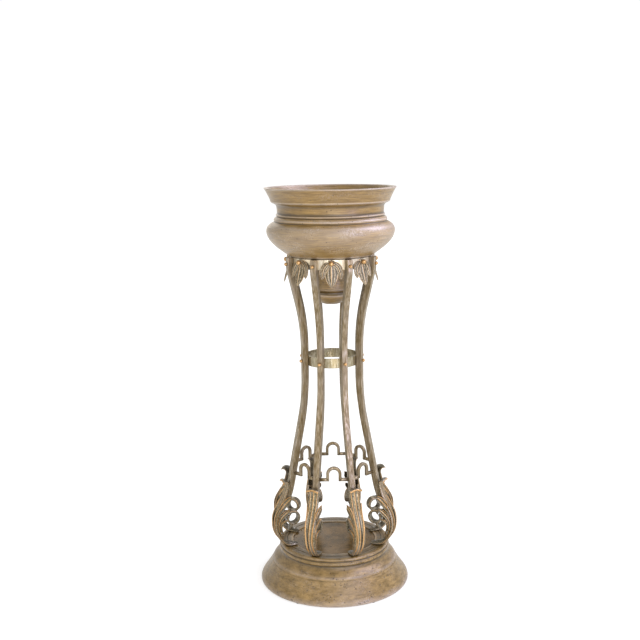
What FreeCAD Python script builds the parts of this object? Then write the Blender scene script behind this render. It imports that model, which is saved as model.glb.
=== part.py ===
# Jardiniere on a stand: a turned bowl that lifts out of a cage of eight square bars,
# which stands on acanthus brackets on a round cast plinth.
# Millimetres. +Z is up, the floor is z = 0 and the stand's axis is the Z axis.
import FreeCAD, Part
import math
import os
import re

import Sketcher
from FreeCAD import Placement, Rotation, Vector

doc = FreeCAD.newDocument("jardiniere_on_stand")
Z_AXIS = Vector(0, 0, 1)
AXIS_LINE = 10  # drawn length of a line to turn about, mm

# ---------------------------------------------------------------------------
# Driving dimensions: alias, value, what it is
# ---------------------------------------------------------------------------
SIZES = [
    ("leg_count", 8, "bars, brackets, scrolls, arches and leaves"),
    ("bar_size", 16, "square bar of the legs"),
    ("bar_edge", 1.4, "rounded edge of the bars"),
    ("seat_gap", 0.1, "between a bar's flat face and a round band"),
    ("hole_gap", 0.05, "radial clearance of shanks in holes"),
    ("band_thickness", 4, "flat strip of the two bands"),
    ("band_edge", 0.8, "rounded edge of the bands"),
    # plinth
    ("pad_height", 1.5, "floor pads under the plinth"),
    ("pad_radius", 7, "floor pads"),
    ("pad_count", 6, "floor pads"),
    ("base_radius", 208.5, "plinth at the floor"),
    ("rim_land", 20, "width of the plinth's bottom rim"),
    ("bell_radius", 176, "top of the plinth's bell"),
    ("bell_height", 58, "top of the plinth's bell"),
    ("step_depth", 1.5, "groove between bell and shoulder"),
    ("neck_radius", 151, "neck under the two beads"),
    ("neck_drop", 25, "foot of the neck below the plinth's top"),
    ("bead_reach", 4, "beads stand out from the neck"),
    ("plinth_height", 113, "top of the plinth"),
    ("plinth_wall", 8, "wall of the plinth"),
    ("deck_thickness", 14, "top of the plinth"),
    ("line_inset", 18.5, "fine groove round the top of the plinth, inside the neck"),
    ("recess_inset", 36, "edge of the sunk round panel, inside the neck"),
    ("recess_depth", 5, "sunk round panel in the top"),
    ("disc_thickness", 3, "inlaid disc"),
    ("disc_gap", 0.5, "inlaid disc to its recess"),
    # bands
    ("waist_radius", 72.7, "outside of the waist band"),
    ("waist_height", 633.8, "middle of the waist band"),
    ("waist_depth", 26.4, "height of the waist band"),
    ("collar_radius", 111, "outside of the collar band"),
    ("collar_top", 917, "top edge of the collar band"),
    ("collar_depth", 27, "height of the collar band"),
    # legs
    ("upper_straight", 31, "straight part above the waist's middle"),
    ("lower_straight", 44, "straight part below the waist's middle"),
    ("upper_sweep", 1.4046, "steepness of the straight top over the mean slope"),
    ("lower_sweep", 1.283, "steepness of the straight foot over the mean slope"),
    ("collar_corner", 4.3, "bend of the bar below the collar's lower edge"),
    ("collar_bend", 14, "inside radius of that bend"),
    ("knee_inset", 17.2, "outer face of the leg where its toe starts, inside the neck"),
    ("knee_rise", 187, "knee above the plinth's top"),
    ("toe_bend", 260, "outer face's radius in the toe"),
    ("toe_lean", 25, "slope of the toe's end in degrees"),
    # rivets
    ("shank_radius", 2.5, "rivets and studs"),
    ("ball_radius", 4.6, "ball heads of the rivets"),
    ("ball_stand", 2.6, "ball's middle off the bar's face"),
    ("rivet_drop", 17, "collar rivets below the collar's top"),
    ("stud_radius", 6.5, "ball of the leaf studs"),
    ("stud_stand", 5, "ball's middle off the leaf's face"),
    ("stud_drop", 9, "leaf studs below the collar's top"),
    # arch links
    ("link_inset", 40.5, "middle of the links along the gap, inside the neck"),
    ("link_rise", 206, "underside of the links above the plinth's top"),
    ("link_bar", 8.2, "square bar of the links"),
    ("arch_half", 20.7, "half width of the arch outside"),
    ("arch_spring", 19.6, "arch's centre above its underside"),
    # brackets
    ("leaf_swell", 29.4, "furthest point of a bracket, outside the neck"),
    ("leaf_top", 196, "top of a bracket above the plinth's top"),
    ("leaf_width", 32.5, "bracket across its middle"),
    ("leaf_thickness", 13, "bracket's wall"),
    ("foot_inset", 40, "inner end of a bracket's foot, inside the neck"),
    ("flute_depth", 1.7, "flutes of a bracket"),
    ("foot_screw_radius", 3, "screws into the brackets' feet"),
    ("screw_inset", 27, "screws, inside the neck"),
    ("foot_screw_bite", 9, "screws' depth in the feet"),
    ("screw_head", 4, "height of the screws' heads"),
    # scrolls
    ("scroll_inset", 24.4, "scroll's centre, inside the neck"),
    ("scroll_rise", 79.6, "scroll's centre above the plinth's top"),
    ("scroll_radius", 19.6, "outside of the scroll"),
    ("strip_thickness", 6.4, "strip of the scroll"),
    ("strip_width", 20, "strip of the scroll"),
    # leaves on the collar
    ("leaf_plate", 4.5, "thickness of a leaf where it lies on the collar"),
    ("leaf_drop", 71, "leaf's tip below the collar's top"),
    ("leaf_half", 28, "half width of a leaf"),
    ("leaf_bulge", 14, "leaf's belly off the collar"),
    # seat and cup
    ("seat_thickness", 5, "plate that carries the bowl"),
    ("seat_drop", 19, "plate's top below the collar's top"),
    ("seat_pad_height", 3, "pads under the bowl"),
    ("seat_pad_radius", 8, "pads under the bowl"),
    ("cup_radius", 45, "drop cup's body"),
    ("cup_bead", 5.5, "cup's bead stands out"),
    ("cup_bead_drop", 98, "cup's bead below the collar's top"),
    ("cup_drop", 133, "cup's lowest point below the collar's top"),
    ("cup_wall", 5, "drop cup"),
    ("bolt_radius", 4, "bolt that holds the cup"),
    ("bolt_head", 5.5, "height of the bolt's head"),
    ("washer_radius", 11, "washer under the bolt's head"),
    ("washer_thickness", 1.6, "washer under the bolt's head"),
    # bowl
    ("bowl_height", 183, "rim above the collar's top"),
    ("rim_radius", 177, "bowl's rim"),
    ("throat_radius", 143, "bowl's throat under the flare"),
    ("belly_radius", 173, "bowl's belly"),
    ("belly_rise", 68, "belly above the collar's top"),
    ("bowl_wall", 9, "wall of the bowl"),
    ("bowl_foot", 100, "outside of the bowl's foot ring"),
    ("foot_ring", 12, "width of the bowl's foot ring"),
    ("foot_hollow", 9, "hollow inside the foot ring"),
    ("lift_gap", 1.5, "bowl's shoulder above the collar's edge"),
]

# ---------------------------------------------------------------------------
# Places worked out from the driving dimensions
# ---------------------------------------------------------------------------
PLACES = [
    ("half_step", "180 / leg_count"),
    ("neck_height", "plinth_height - neck_drop"),
    ("line_radius", "neck_radius - line_inset"),
    ("recess_radius", "neck_radius - recess_inset"),
    ("knee_radius", "neck_radius - knee_inset"),
    ("link_radius", "neck_radius - link_inset"),
    ("leaf_reach", "neck_radius + leaf_swell"),
    ("foot_inner", "neck_radius - foot_inset"),
    ("foot_screw_place", "neck_radius - screw_inset"),
    ("scroll_place", "neck_radius - scroll_inset"),
    ("waist_face", "waist_radius + seat_gap + bar_size"),
    ("collar_face", "collar_radius + seat_gap + bar_size"),
    ("collar_foot", "collar_top - collar_depth"),
    ("upper_start", "waist_height + upper_straight"),
    ("lower_start", "waist_height - lower_straight"),
    ("upper_corner", "collar_foot - collar_corner"),
    ("knee_height", "plinth_height + knee_rise"),
    ("upper_run", "upper_corner - upper_start"),
    ("lower_run", "lower_start - knee_height"),
    ("upper_lean", "atan(upper_sweep * (collar_face - waist_face) / upper_run) / (1 deg)"),
    ("lower_lean", "atan(lower_sweep * (knee_radius - waist_face) / lower_run) / (1 deg)"),
    ("upper_arc", "(upper_run * tan(upper_lean) - collar_face + waist_face) / (1 / cos(upper_lean) - 1)"),
    ("lower_arc", "(lower_run * tan(lower_lean) - knee_radius + waist_face) / (1 / cos(lower_lean) - 1)"),
    ("collar_arc", "collar_bend + bar_size"),
    ("bend_top", "upper_corner + collar_arc * tan(upper_lean / 2)"),
    ("rivet_height", "collar_top - rivet_drop"),
    ("stud_height", "collar_top - stud_drop"),
    ("link_height", "plinth_height + link_rise"),
    ("scroll_height", "plinth_height + scroll_rise"),
    ("seat_top", "collar_top - seat_drop"),
    ("bowl_base", "seat_top + seat_pad_height"),
    ("recess_floor", "plinth_height - recess_depth"),
    ("deck_under", "plinth_height - deck_thickness"),
    ("leaf_seat", "collar_radius + seat_gap"),
    ("leaf_tip", "collar_top - leaf_drop"),
    ("cup_foot", "collar_top - cup_drop"),
    ("cup_bead_height", "collar_top - cup_bead_drop"),
    ("rim_top", "collar_top + bowl_height"),
    ("belly_height", "collar_top + belly_rise"),
]

MATHS = {"sin", "cos", "tan", "atan", "sqrt", "deg"}
SHEET_OF = {name: "sizes" for name, _, _ in SIZES}
SHEET_OF.update({name: "places" for name, _ in PLACES})


def formula(text):
    """An expression with each alias written with the sheet that holds it."""

    def with_sheet(match):
        word = match.group()
        return word if word in MATHS else SHEET_OF[word] + "." + word

    return re.sub(r"[a-z][a-z_]+", with_sheet, str(text))


def fill_sheet(name, rows):
    sheet = doc.addObject("Spreadsheet::Sheet", name)
    for row, (alias, content) in enumerate(rows, start=1):
        sheet.set("A%d" % row, alias)
        sheet.set("B%d" % row, content)
        sheet.setAlias("B%d" % row, alias)
    doc.recompute()
    return sheet


sizes = fill_sheet("sizes", [(alias, str(value)) for alias, value, _ in SIZES])
places = fill_sheet("places", [(alias, "=" + formula(text)) for alias, text in PLACES])


def number(text):
    """The value of an expression now."""
    value = sizes.evalExpression(formula(text))
    return float(getattr(value, "Value", value))


def bind(item, path, text):
    item.setExpression(path, formula(text))


# ---------------------------------------------------------------------------
# Bodies, sketches and features
# ---------------------------------------------------------------------------
def new_body(label):
    body = doc.addObject("PartDesign::Body", label)
    body.Label = label
    return body


def datum(body, role):
    return next(item for item in body.Origin.OriginFeatures if item.Role == role)


def new_sketch(body, name, role, lift="0", turn="0"):
    """A sketch on one of the body's planes, lifted along its normal and turned about its upright."""
    sketch = body.newObject("Sketcher::SketchObject", name)
    sketch.AttachmentSupport = [(datum(body, role), "")]
    sketch.MapMode = "FlatFace"
    sketch.AttachmentOffset = Placement(Vector(), Rotation(Vector(0, 1, 0), 0))
    if lift != "0":
        bind(sketch, ".AttachmentOffset.Base.z", lift)
    if turn != "0":
        sketch.AttachmentOffset = Placement(Vector(), Rotation(Vector(0, 1, 0), 1))
        bind(sketch, ".AttachmentOffset.Rotation.Angle", turn)
    return sketch


def line(*point):
    return (None, point)


def arc(middle, end):
    return (middle, end)


def backwards(start, path):
    """The same run of lines and arcs from its far end."""
    points = [start] + [end for _, end in path]
    middles = [middle for middle, _ in path]
    return points[-1], [(middle, point) for middle, point in zip(reversed(middles), reversed(points[:-1]))]


def outline(sketch, start, path):
    """Draws a closed run of lines and arcs, each point held by its two expressions."""
    spots = [start] + [end for _, end in path]
    places_now = [Vector(number(x), number(y), 0) for x, y in spots]
    pieces, rules, bound = [], [], []

    def hold(geometry, position, spot):
        for kind, text in (("DistanceX", spot[0]), ("DistanceY", spot[1])):
            rules.append(Sketcher.Constraint(kind, -1, 1, geometry, position, number(text)))
            bound.append((first_rule + len(rules) - 1, text))

    first_rule = sketch.ConstraintCount
    closing = [] if path[-1][1] == start else [line(*start)]
    for index, (middle, end) in enumerate(path + closing):
        here = places_now[index]
        there = Vector(number(end[0]), number(end[1]), 0)
        if middle is None:
            geometry = sketch.addGeometry(Part.LineSegment(here, there))
            pieces.append((geometry, 1, 2))
            continue
        via = Vector(number(middle[0]), number(middle[1]), 0)
        geometry = sketch.addGeometry(Part.Arc(here, via, there))
        clockwise = (via - here).cross(there - via).z < 0
        pieces.append((geometry, 2, 1) if clockwise else (geometry, 1, 2))
        point = sketch.addGeometry(Part.Point(via), True)
        hold(point, 1, middle)
        rules.append(Sketcher.Constraint("PointOnObject", point, 1, geometry))
    for index, (geometry, head, tail) in enumerate(pieces):
        following = pieces[(index + 1) % len(pieces)]
        rules.append(Sketcher.Constraint("Coincident", geometry, tail, following[0], following[1]))
        hold(geometry, head, spots[index])
    sketch.addConstraint(rules)
    for index, text in bound:
        if re.search("[a-z]", str(text)):
            bind(sketch, "Constraints[%d]" % index, text)


def circle(sketch, x, y, radius):
    """Draws a circle, its centre and radius held by expressions."""
    geometry = sketch.addGeometry(Part.Circle(Vector(number(x), number(y), 0), Z_AXIS, number(radius)))
    first_rule = sketch.ConstraintCount
    sketch.addConstraint([
        Sketcher.Constraint("DistanceX", -1, 1, geometry, 3, number(x)),
        Sketcher.Constraint("DistanceY", -1, 1, geometry, 3, number(y)),
        Sketcher.Constraint("Radius", geometry, number(radius)),
    ])
    for index, text in enumerate((x, y, radius)):
        if re.search("[a-z]", str(text)):
            bind(sketch, "Constraints[%d]" % (first_rule + index), text)


def axis_line(sketch, height):
    """A level construction line to turn a profile about."""
    ends = Vector(0, number(height), 0), Vector(AXIS_LINE, number(height), 0)
    geometry = sketch.addGeometry(Part.LineSegment(*ends), True)
    first_rule = sketch.ConstraintCount
    sketch.addConstraint([
        Sketcher.Constraint("Horizontal", geometry),
        Sketcher.Constraint("DistanceX", -1, 1, geometry, 1, 0.0),
        Sketcher.Constraint("DistanceX", -1, 1, geometry, 2, AXIS_LINE),
        Sketcher.Constraint("DistanceY", -1, 1, geometry, 1, number(height)),
    ])
    bind(sketch, "Constraints[%d]" % (first_rule + 3), height)


def turned(body, name, start, path):
    """A profile in the XZ plane turned about the Z axis."""
    sketch = new_sketch(body, name + "_profile", "XZ_Plane")
    outline(sketch, start, path)
    feature = body.newObject("PartDesign::Revolution", name)
    feature.Profile = sketch
    feature.ReferenceAxis = (datum(body, "Z_Axis"), [""])
    feature.Angle = 360
    return feature


def padded(body, name, sketch, length, symmetric=True):
    feature = body.newObject("PartDesign::Pad", name)
    feature.Profile = sketch
    bind(feature, "Length", length)
    if symmetric:
        feature.SideType = "Symmetric"
    return feature


def cut_through(body, name, sketch):
    """A pocket both ways through everything, checked to take something off."""
    doc.recompute()
    before = body.Shape.Volume
    feature = body.newObject("PartDesign::Pocket", name)
    feature.Profile = sketch
    feature.Type = "ThroughAll"
    feature.SideType = "Symmetric"
    doc.recompute()
    must_cut(body, name, before)
    return feature


def cut_outwards(body, name, sketch, length):
    """A pocket from the axis outwards, along a sketch's normal."""
    doc.recompute()
    before = body.Shape.Volume
    feature = body.newObject("PartDesign::Pocket", name)
    feature.Profile = sketch
    bind(feature, "Length", length)
    feature.Reversed = True
    doc.recompute()
    must_cut(body, name, before)
    return feature


def must_cut(body, name, before):
    if body.Shape.Volume > before - 1:
        raise RuntimeError("%s takes nothing off %s" % (name, body.Label))


def around(body, name, feature, count="leg_count"):
    """Repeats a feature round the Z axis."""
    pattern = body.newObject("PartDesign::PolarPattern", name)
    pattern.Originals = [feature]
    pattern.Axis = (datum(body, "Z_Axis"), [""])
    pattern.Angle = 360
    bind(pattern, "Occurrences", count)
    body.Tip = pattern
    return pattern


def round_edges(body, name, radius, wanted):
    """Rounds the edges of the body for which wanted(edge) is true."""
    doc.recompute()
    base = body.Tip
    names = ["Edge%d" % (index + 1) for index, edge in enumerate(base.Shape.Edges) if wanted(edge)]
    feature = body.newObject("PartDesign::Fillet", name)
    feature.Base = (base, names)
    bind(feature, "Radius", radius)
    return feature


def disc(body, name, radius, low, height, x="0", y="0"):
    """A round pad, its underside at height low."""
    sketch = new_sketch(body, name + "_circle", "XY_Plane", lift=low)
    circle(sketch, x, y, radius)
    return padded(body, name, sketch, height, symmetric=False)


def turn_about_axis(item, angle):
    item.Placement = Placement(Vector(), Rotation(Z_AXIS, 1))
    bind(item, ".Placement.Rotation.Angle", angle)


def place_around(master, label, first="0"):
    """Puts numbered copies of a piece at equal steps round the stand, from the front."""
    copies = []
    for index in range(int(number("leg_count"))):
        copy = doc.addObject("Part::Compound", "%s_%d" % (label, index + 1))
        copy.Label = "%s_%d" % (label, index + 1)
        copy.Links = [master]
        turn_about_axis(copy, "%d * 2 * half_step - 90 + %s" % (index, first))
        copies.append(copy)
    return copies


# ---------------------------------------------------------------------------
# Plinth
# ---------------------------------------------------------------------------
def make_plinth():
    """Cast shell: bell, shoulder, neck with two beads, and a sunk panel in its top."""
    body = new_body("plinth_base")
    inner = "(base_radius - rim_land)"

    def shoulder(share, rise):
        """A place between the neck and the bell."""
        return ("neck_radius + (bell_radius - neck_radius) * %s" % share,
                "bell_height + (neck_height - bell_height) * %s" % rise)

    turned(body, "plinth_turning", (inner, "pad_height"), [
        line("base_radius - 1.5", "pad_height"),
        line("base_radius", "pad_height + 2.5"),
        arc(("base_radius - 3.3", "pad_height + 11"), ("base_radius - 10", "pad_height + 21")),
        arc(("base_radius * 0.38 + bell_radius * 0.62 - 0.2", "bell_height * 0.71"),
            ("bell_radius", "bell_height")),
        line("bell_radius - step_depth", "bell_height + 1.5"),
        line("bell_radius - step_depth", "bell_height + 3"),
        arc(shoulder("0.80", "0.33"), shoulder("0.50", "0.55")),
        arc(shoulder("0.17", "0.77"), ("neck_radius", "neck_height")),
        line("neck_radius", "neck_height + 3"),
        arc(("neck_radius + bead_reach", "neck_height + 9"), ("neck_radius", "neck_height + 15")),
        line("neck_radius", "neck_height + 16.5"),
        arc(("neck_radius + bead_reach - 1", "(neck_height + 16.5 + plinth_height) / 2"),
            ("neck_radius - 1.5", "plinth_height")),
        line("line_radius + 1.5", "plinth_height"),
        line("line_radius + 0.5", "plinth_height - 1.2"),
        line("line_radius - 0.5", "plinth_height - 1.2"),
        line("line_radius - 1.5", "plinth_height"),
        line("recess_radius", "plinth_height"),
        line("recess_radius", "recess_floor"),
        line("0", "recess_floor"),
        line("0", "deck_under"),
        line("neck_radius - plinth_wall", "deck_under"),
        line("neck_radius - plinth_wall", "neck_height - 4"),
        line("bell_radius - plinth_wall - 2", "bell_height + 1"),
        line("bell_radius - plinth_wall - 2", "bell_height - 6"),
        line(inner, "pad_height + 20"),
    ])
    sketch = new_sketch(body, "screw_hole_circle", "XY_Plane")
    circle(sketch, "foot_screw_place", "0", "foot_screw_radius + hole_gap")
    hole = cut_through(body, "screw_hole", sketch)
    around(body, "screw_holes", hole)
    turn_about_axis(body, "half_step - 90")
    return body


def make_plinth_disc():
    """Flat disc that lines the sunk panel."""
    body = new_body("plinth_disc")
    disc(body, "inlay", "recess_radius - disc_gap", "recess_floor", "disc_thickness")
    round_edges(body, "inlay_edge", "band_edge", lambda edge: edge.BoundBox.ZMin > number("recess_floor") + 1)
    return body


def make_floor_pads():
    """Pads under the plinth's bottom rim."""
    body = new_body("floor_pads")
    pad = disc(body, "floor_pad", "pad_radius", "0", "pad_height", x="base_radius - rim_land / 2")
    around(body, "floor_pad_ring", pad, "pad_count")
    return body


def make_foot_screws():
    """Screws up through the plinth's top into the brackets' feet."""
    body = new_body("foot_screws")
    disc(body, "screw_head_pad", "foot_screw_radius * 1.8", "deck_under - screw_head", "screw_head",
         x="foot_screw_place")
    shank = disc(body, "screw_shank", "foot_screw_radius", "deck_under", "deck_thickness + foot_screw_bite",
                 x="foot_screw_place")
    pattern = around(body, "screw_ring", shank)
    pattern.Originals = [body.Group[1], shank]
    turn_about_axis(body, "half_step - 90")
    return body


# ---------------------------------------------------------------------------
# Legs
# ---------------------------------------------------------------------------
def leg_line(depth):
    """The bar's side view from its top to its toe, at a depth inside its outer face."""

    def about_upper(angle):
        return ("waist_face + upper_arc - (upper_arc + %s) * cos(%s)" % (depth, angle),
                "upper_start + (upper_arc + %s) * sin(%s)" % (depth, angle))

    def about_lower(angle):
        return ("waist_face + lower_arc - (lower_arc + %s) * cos(%s)" % (depth, angle),
                "lower_start - (lower_arc + %s) * sin(%s)" % (depth, angle))

    def about_collar(angle):
        return ("collar_face - collar_arc + (collar_arc - %s) * cos(%s)" % (depth, angle),
                "bend_top - (collar_arc - %s) * sin(%s)" % (depth, angle))

    def about_toe(angle):
        return ("knee_radius + toe_bend * cos(lower_lean) - (toe_bend + %s) * cos(%s)" % (depth, angle),
                "knee_height + toe_bend * sin(lower_lean) - (toe_bend + %s) * sin(%s)" % (depth, angle))

    start = ("collar_face - %s" % depth, "collar_top")
    return start, [
        line("collar_face - %s" % depth, "bend_top"),
        arc(about_collar("(upper_lean / 2)"), about_collar("upper_lean")),
        line(*about_upper("upper_lean")),
        arc(about_upper("(upper_lean / 2)"), ("waist_face - %s" % depth, "upper_start")),
        line("waist_face - %s" % depth, "lower_start"),
        arc(about_lower("(lower_lean / 2)"), about_lower("lower_lean")),
        line("knee_radius - %s * cos(lower_lean)" % depth, "knee_height - %s * sin(lower_lean)" % depth),
        arc(about_toe("((lower_lean + toe_lean) / 2)"), about_toe("toe_lean")),
    ]


def make_leg():
    """Square bar bent in the plane of the stand's axis, with its two rivet holes."""
    body = new_body("leg_pattern")
    outer_start, outer = leg_line("0")
    toe, inner = backwards(*leg_line("bar_size"))
    sketch = new_sketch(body, "leg_side", "XZ_Plane")
    outline(sketch, outer_start, outer + [line(*toe)] + inner)
    padded(body, "leg_bar", sketch, "bar_size")
    bar = number("bar_size")
    round_edges(body, "leg_edges", "bar_edge",
                lambda edge: edge.BoundBox.YLength < 0.01 and abs(edge.Length - bar) > 0.01)
    for name, height in (("collar_hole", "rivet_height"), ("waist_hole", "waist_height")):
        sketch = new_sketch(body, name + "_circle", "YZ_Plane")
        circle(sketch, "0", height, "shank_radius + hole_gap")
        cut_through(body, name, sketch)
    return body


# ---------------------------------------------------------------------------
# Bands and their rivets
# ---------------------------------------------------------------------------
def make_band(label, radius, low, depth, holes):
    """Flat strip rolled to a ring, with rings of rivet holes."""
    body = new_body(label)
    turned(body, label + "_strip", (radius + " - band_thickness", low), [
        line(radius, low),
        line(radius, "%s + %s" % (low, depth)),
        line(radius + " - band_thickness", "%s + %s" % (low, depth)),
    ])
    round_edges(body, label + "_edges", "band_edge",
                lambda edge: edge.BoundBox.ZLength < 0.01)
    for name, height, angle in holes:
        sketch = new_sketch(body, name + "_circle", "YZ_Plane", turn=angle)
        circle(sketch, "0", height, "shank_radius + hole_gap")
        hole = cut_outwards(body, name, sketch, radius + " + band_thickness")
        around(body, name + "_ring", hole)
    turn_about_axis(body, "half_step - 90")
    return body


def make_rivets(label, inner, face, height, ball, stand):
    """Ball-headed rivets, one at each bar, their tails flush inside the band."""
    body = new_body(label)
    sketch = new_sketch(body, label + "_profile", "XZ_Plane")
    centre = "%s + %s" % (face, stand)
    base = "sqrt(%s * %s - %s * %s)" % (ball, ball, stand, stand)
    outline(sketch, (inner, height), [
        line(inner, height + " + shank_radius"),
        line(face, height + " + shank_radius"),
        line(face, "%s + %s" % (height, base)),
        arc(("%s + %s * 0.6" % (centre, ball), "%s + %s * 0.8" % (height, ball)),
            ("%s + %s" % (centre, ball), height)),
    ])
    axis_line(sketch, height)
    rivet = body.newObject("PartDesign::Revolution", label + "_turning")
    rivet.Profile = sketch
    rivet.ReferenceAxis = (sketch, ["Axis0"])
    rivet.Angle = 360
    around(body, label + "_ring", rivet)
    return body


# ---------------------------------------------------------------------------
# Arch links between the bars
# ---------------------------------------------------------------------------
def make_link():
    """Two level stubs and a keyhole arch between them, cut to the bars' side faces."""
    body = new_body("arch_link_pattern")
    sketch = new_sketch(body, "arch_front", "YZ_Plane", lift="link_radius")
    reach = "(link_radius * tan(half_step))"
    inner = "(arch_half - link_bar)"
    spring = "link_height + arch_spring"
    outline(sketch, ("-" + reach, "link_height"), [
        line("-" + inner, "link_height"),
        line("-" + inner, spring),
        arc(("0", "%s + %s" % (spring, inner)), (inner, spring)),
        line(inner, "link_height"),
        line(reach, "link_height"),
        line(reach, "link_height + link_bar"),
        line("arch_half", "link_height + link_bar"),
        line("arch_half", spring),
        arc(("0", spring + " + arch_half"), ("-arch_half", spring)),
        line("-arch_half", "link_height + link_bar"),
        line("-" + reach, "link_height + link_bar"),
    ])
    padded(body, "arch_bar", sketch, "link_bar")

    def side_face(x):
        return "((%s) * tan(half_step) - (bar_size / 2 + seat_gap) / cos(half_step))" % x

    near, far = "(link_radius - link_bar)", "(link_radius + link_bar)"
    for name, sign in (("left_end", ""), ("right_end", "-")):
        sketch = new_sketch(body, name + "_plan", "XY_Plane")
        outline(sketch, (near, sign + side_face(near)), [
            line(far, sign + side_face(far)),
            line(far, sign + "link_radius"),
            line(near, sign + "link_radius"),
        ])
        cut_through(body, name, sketch)
    return body


# ---------------------------------------------------------------------------
# Acanthus brackets: fluted leaves, C-shaped from the side
# ---------------------------------------------------------------------------
# Stations along the leaf from its toe to its curled tip. Each gives the outer line's place as
# shares of the reach and of the height, the width and depth of flutes as shares, and how far
# the side lobes reach back behind the wall, in walls' thicknesses.
BRACKET_STATIONS = [
    # reach, height, width, flutes, lobes
    (0.000, 0.000, 0.78, 0.0, 1.00),
    (0.360, 0.000, 0.80, 0.0, 1.00),
    (0.548, 0.019, 0.84, 0.4, 1.00),
    (0.709, 0.071, 0.90, 0.8, 1.00),
    (0.824, 0.125, 0.95, 1.0, 1.02),
    (0.908, 0.179, 0.98, 1.0, 1.08),
    (0.984, 0.265, 1.00, 1.0, 1.25),
    (1.000, 0.332, 1.00, 1.0, 1.60),
    (0.988, 0.393, 1.04, 1.0, 1.90),
    (0.954, 0.459, 1.10, 1.0, 2.30),
    (0.899, 0.520, 1.00, 1.0, 1.15),
    (0.826, 0.582, 1.04, 1.0, 1.30),
    (0.739, 0.643, 1.10, 1.0, 1.75),
    (0.656, 0.704, 1.00, 1.0, 1.00),
    (0.576, 0.781, 1.10, 1.0, 1.26),
    (0.513, 0.847, 1.02, 1.0, 1.00),
    (0.478, 0.908, 1.00, 0.9, 1.00),
    (0.470, 0.939, 1.00, 0.8, 1.00),
]


def leg_face_at(height):
    """Radius of the bar's outer face near its toe."""
    knee = number("knee_height")
    lean = math.radians(number("lower_lean"))
    if height > knee:
        return number("knee_radius") - (height - knee) * math.tan(lean)
    bend = number("toe_bend")
    slope = math.asin(min(0.9, math.sin(lean) + (knee - height) / bend))
    return number("knee_radius") + bend * (math.cos(lean) - math.cos(slope))


def bracket_section(place, out, half, wall, flute, back):
    """A cross-section of the leaf: five scallops in front, two side lobes behind its wall."""
    across = Vector(0, 1, 0)

    def point(side, depth):
        return place + across * side - out * depth

    rib = 2 * half / 5
    edges = []
    for index in range(5):
        left, right = -half + index * rib, -half + (index + 1) * rib
        middle = point((left + right) / 2, -flute)
        edges.append(Part.Arc(point(left, 0), middle, point(right, 0)).toShape() if flute > 0.05 else
                     Part.makeLine(point(left, 0), point(right, 0)))
    lobe = 0.24 * half
    corners = [(half, 0), (half, back), (half - lobe, back), (half - lobe, wall),
               (lobe - half, wall), (lobe - half, back), (-half, back), (-half, 0)]
    for (side, depth), (next_side, next_depth) in zip(corners[:-1], corners[1:]):
        edges.append(Part.makeLine(point(side, depth), point(next_side, next_depth)))
    return Part.Wire(edges)


def make_bracket(leg):
    """Cast leaf: a loft through the stations, seated on the leg and drilled for its screw."""
    foot, reach = number("foot_inner"), number("leaf_reach")
    deck, top = number("plinth_height"), number("leaf_top")
    wall, depth = number("leaf_thickness"), number("flute_depth")
    half_width = number("leaf_width") / 2
    places = [Vector(foot + share * (reach - foot), 0, deck + rise * top)
              for share, rise, _, _, _ in BRACKET_STATIONS]
    wires = []
    for index, (_, _, width, flutes, lobes) in enumerate(BRACKET_STATIONS):
        before = places[max(index - 1, 0)]
        after = places[min(index + 1, len(places) - 1)]
        along = (after - before).normalize()
        out = Vector(along.z, 0, -along.x)
        spot = places[index]
        thick = wall
        if flutes == 0:
            out = Vector(0, 0, -1)
        if spot.z > leg_toe_height():
            thick = max(wall, (spot.x - leg_face_at(spot.z)) * out.x + 0.6)
        back = thick + max(lobes - 1, 0.01) * wall
        wires.append(bracket_section(spot, out, half_width * width, thick, depth * flutes, back))
    blade = Part.makeLoft(wires, True, True)
    tip = curled_tip(places[-1], half_width * BRACKET_STATIONS[-1][2], top + deck)
    screw = Part.makeCylinder(number("foot_screw_radius + hole_gap"), number("foot_screw_bite") + 1,
                              Vector(number("foot_screw_place"), 0, deck), Z_AXIS)
    shape = blade.fuse(tip).cut(screw)
    raw = doc.addObject("Part::Feature", "bracket_casting")
    raw.Shape = shape
    seated = doc.addObject("Part::Cut", "acanthus_bracket_pattern")
    seated.Base = raw
    seated.Tool = leg
    return seated


def leg_toe_height():
    lean, toe = math.radians(number("lower_lean")), math.radians(number("toe_lean"))
    return number("knee_height") - number("toe_bend") * (math.sin(toe) - math.sin(lean))


def curled_tip(base, half, top):
    """The leaf's rolled tip, a bead across its top that curls outwards."""
    radius = (top - base.z) / 2
    back, front = base.x - 2.2 * radius, base.x - 0.1 * radius
    low = base.z - 1.6 * radius

    def at(right, up):
        return Vector(base.x + right * radius, 0, base.z + up * radius)

    outline_points = [
        (None, Vector(back, 0, low)),
        (None, Vector(back, 0, base.z)),
        (at(-2.1, 1.3), at(-1.3, 2.0)),
        (None, at(0.7, 1.95)),
        (at(1.45, 1.7), at(1.4, 0.9)),
        (at(0.5, 0.75), at(0.0, 0.0)),
        (None, Vector(front, 0, low)),
        (None, Vector(back, 0, low)),
    ]
    rim, here = [], outline_points[0][1]
    for middle, there in outline_points[1:]:
        rim.append(Part.makeLine(here, there) if middle is None else Part.Arc(here, middle, there).toShape())
        here = there
    face = Part.Face(Part.Wire(rim))
    face.translate(Vector(0, -half, 0))
    return face.extrude(Vector(0, 2 * half, 0))


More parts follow.
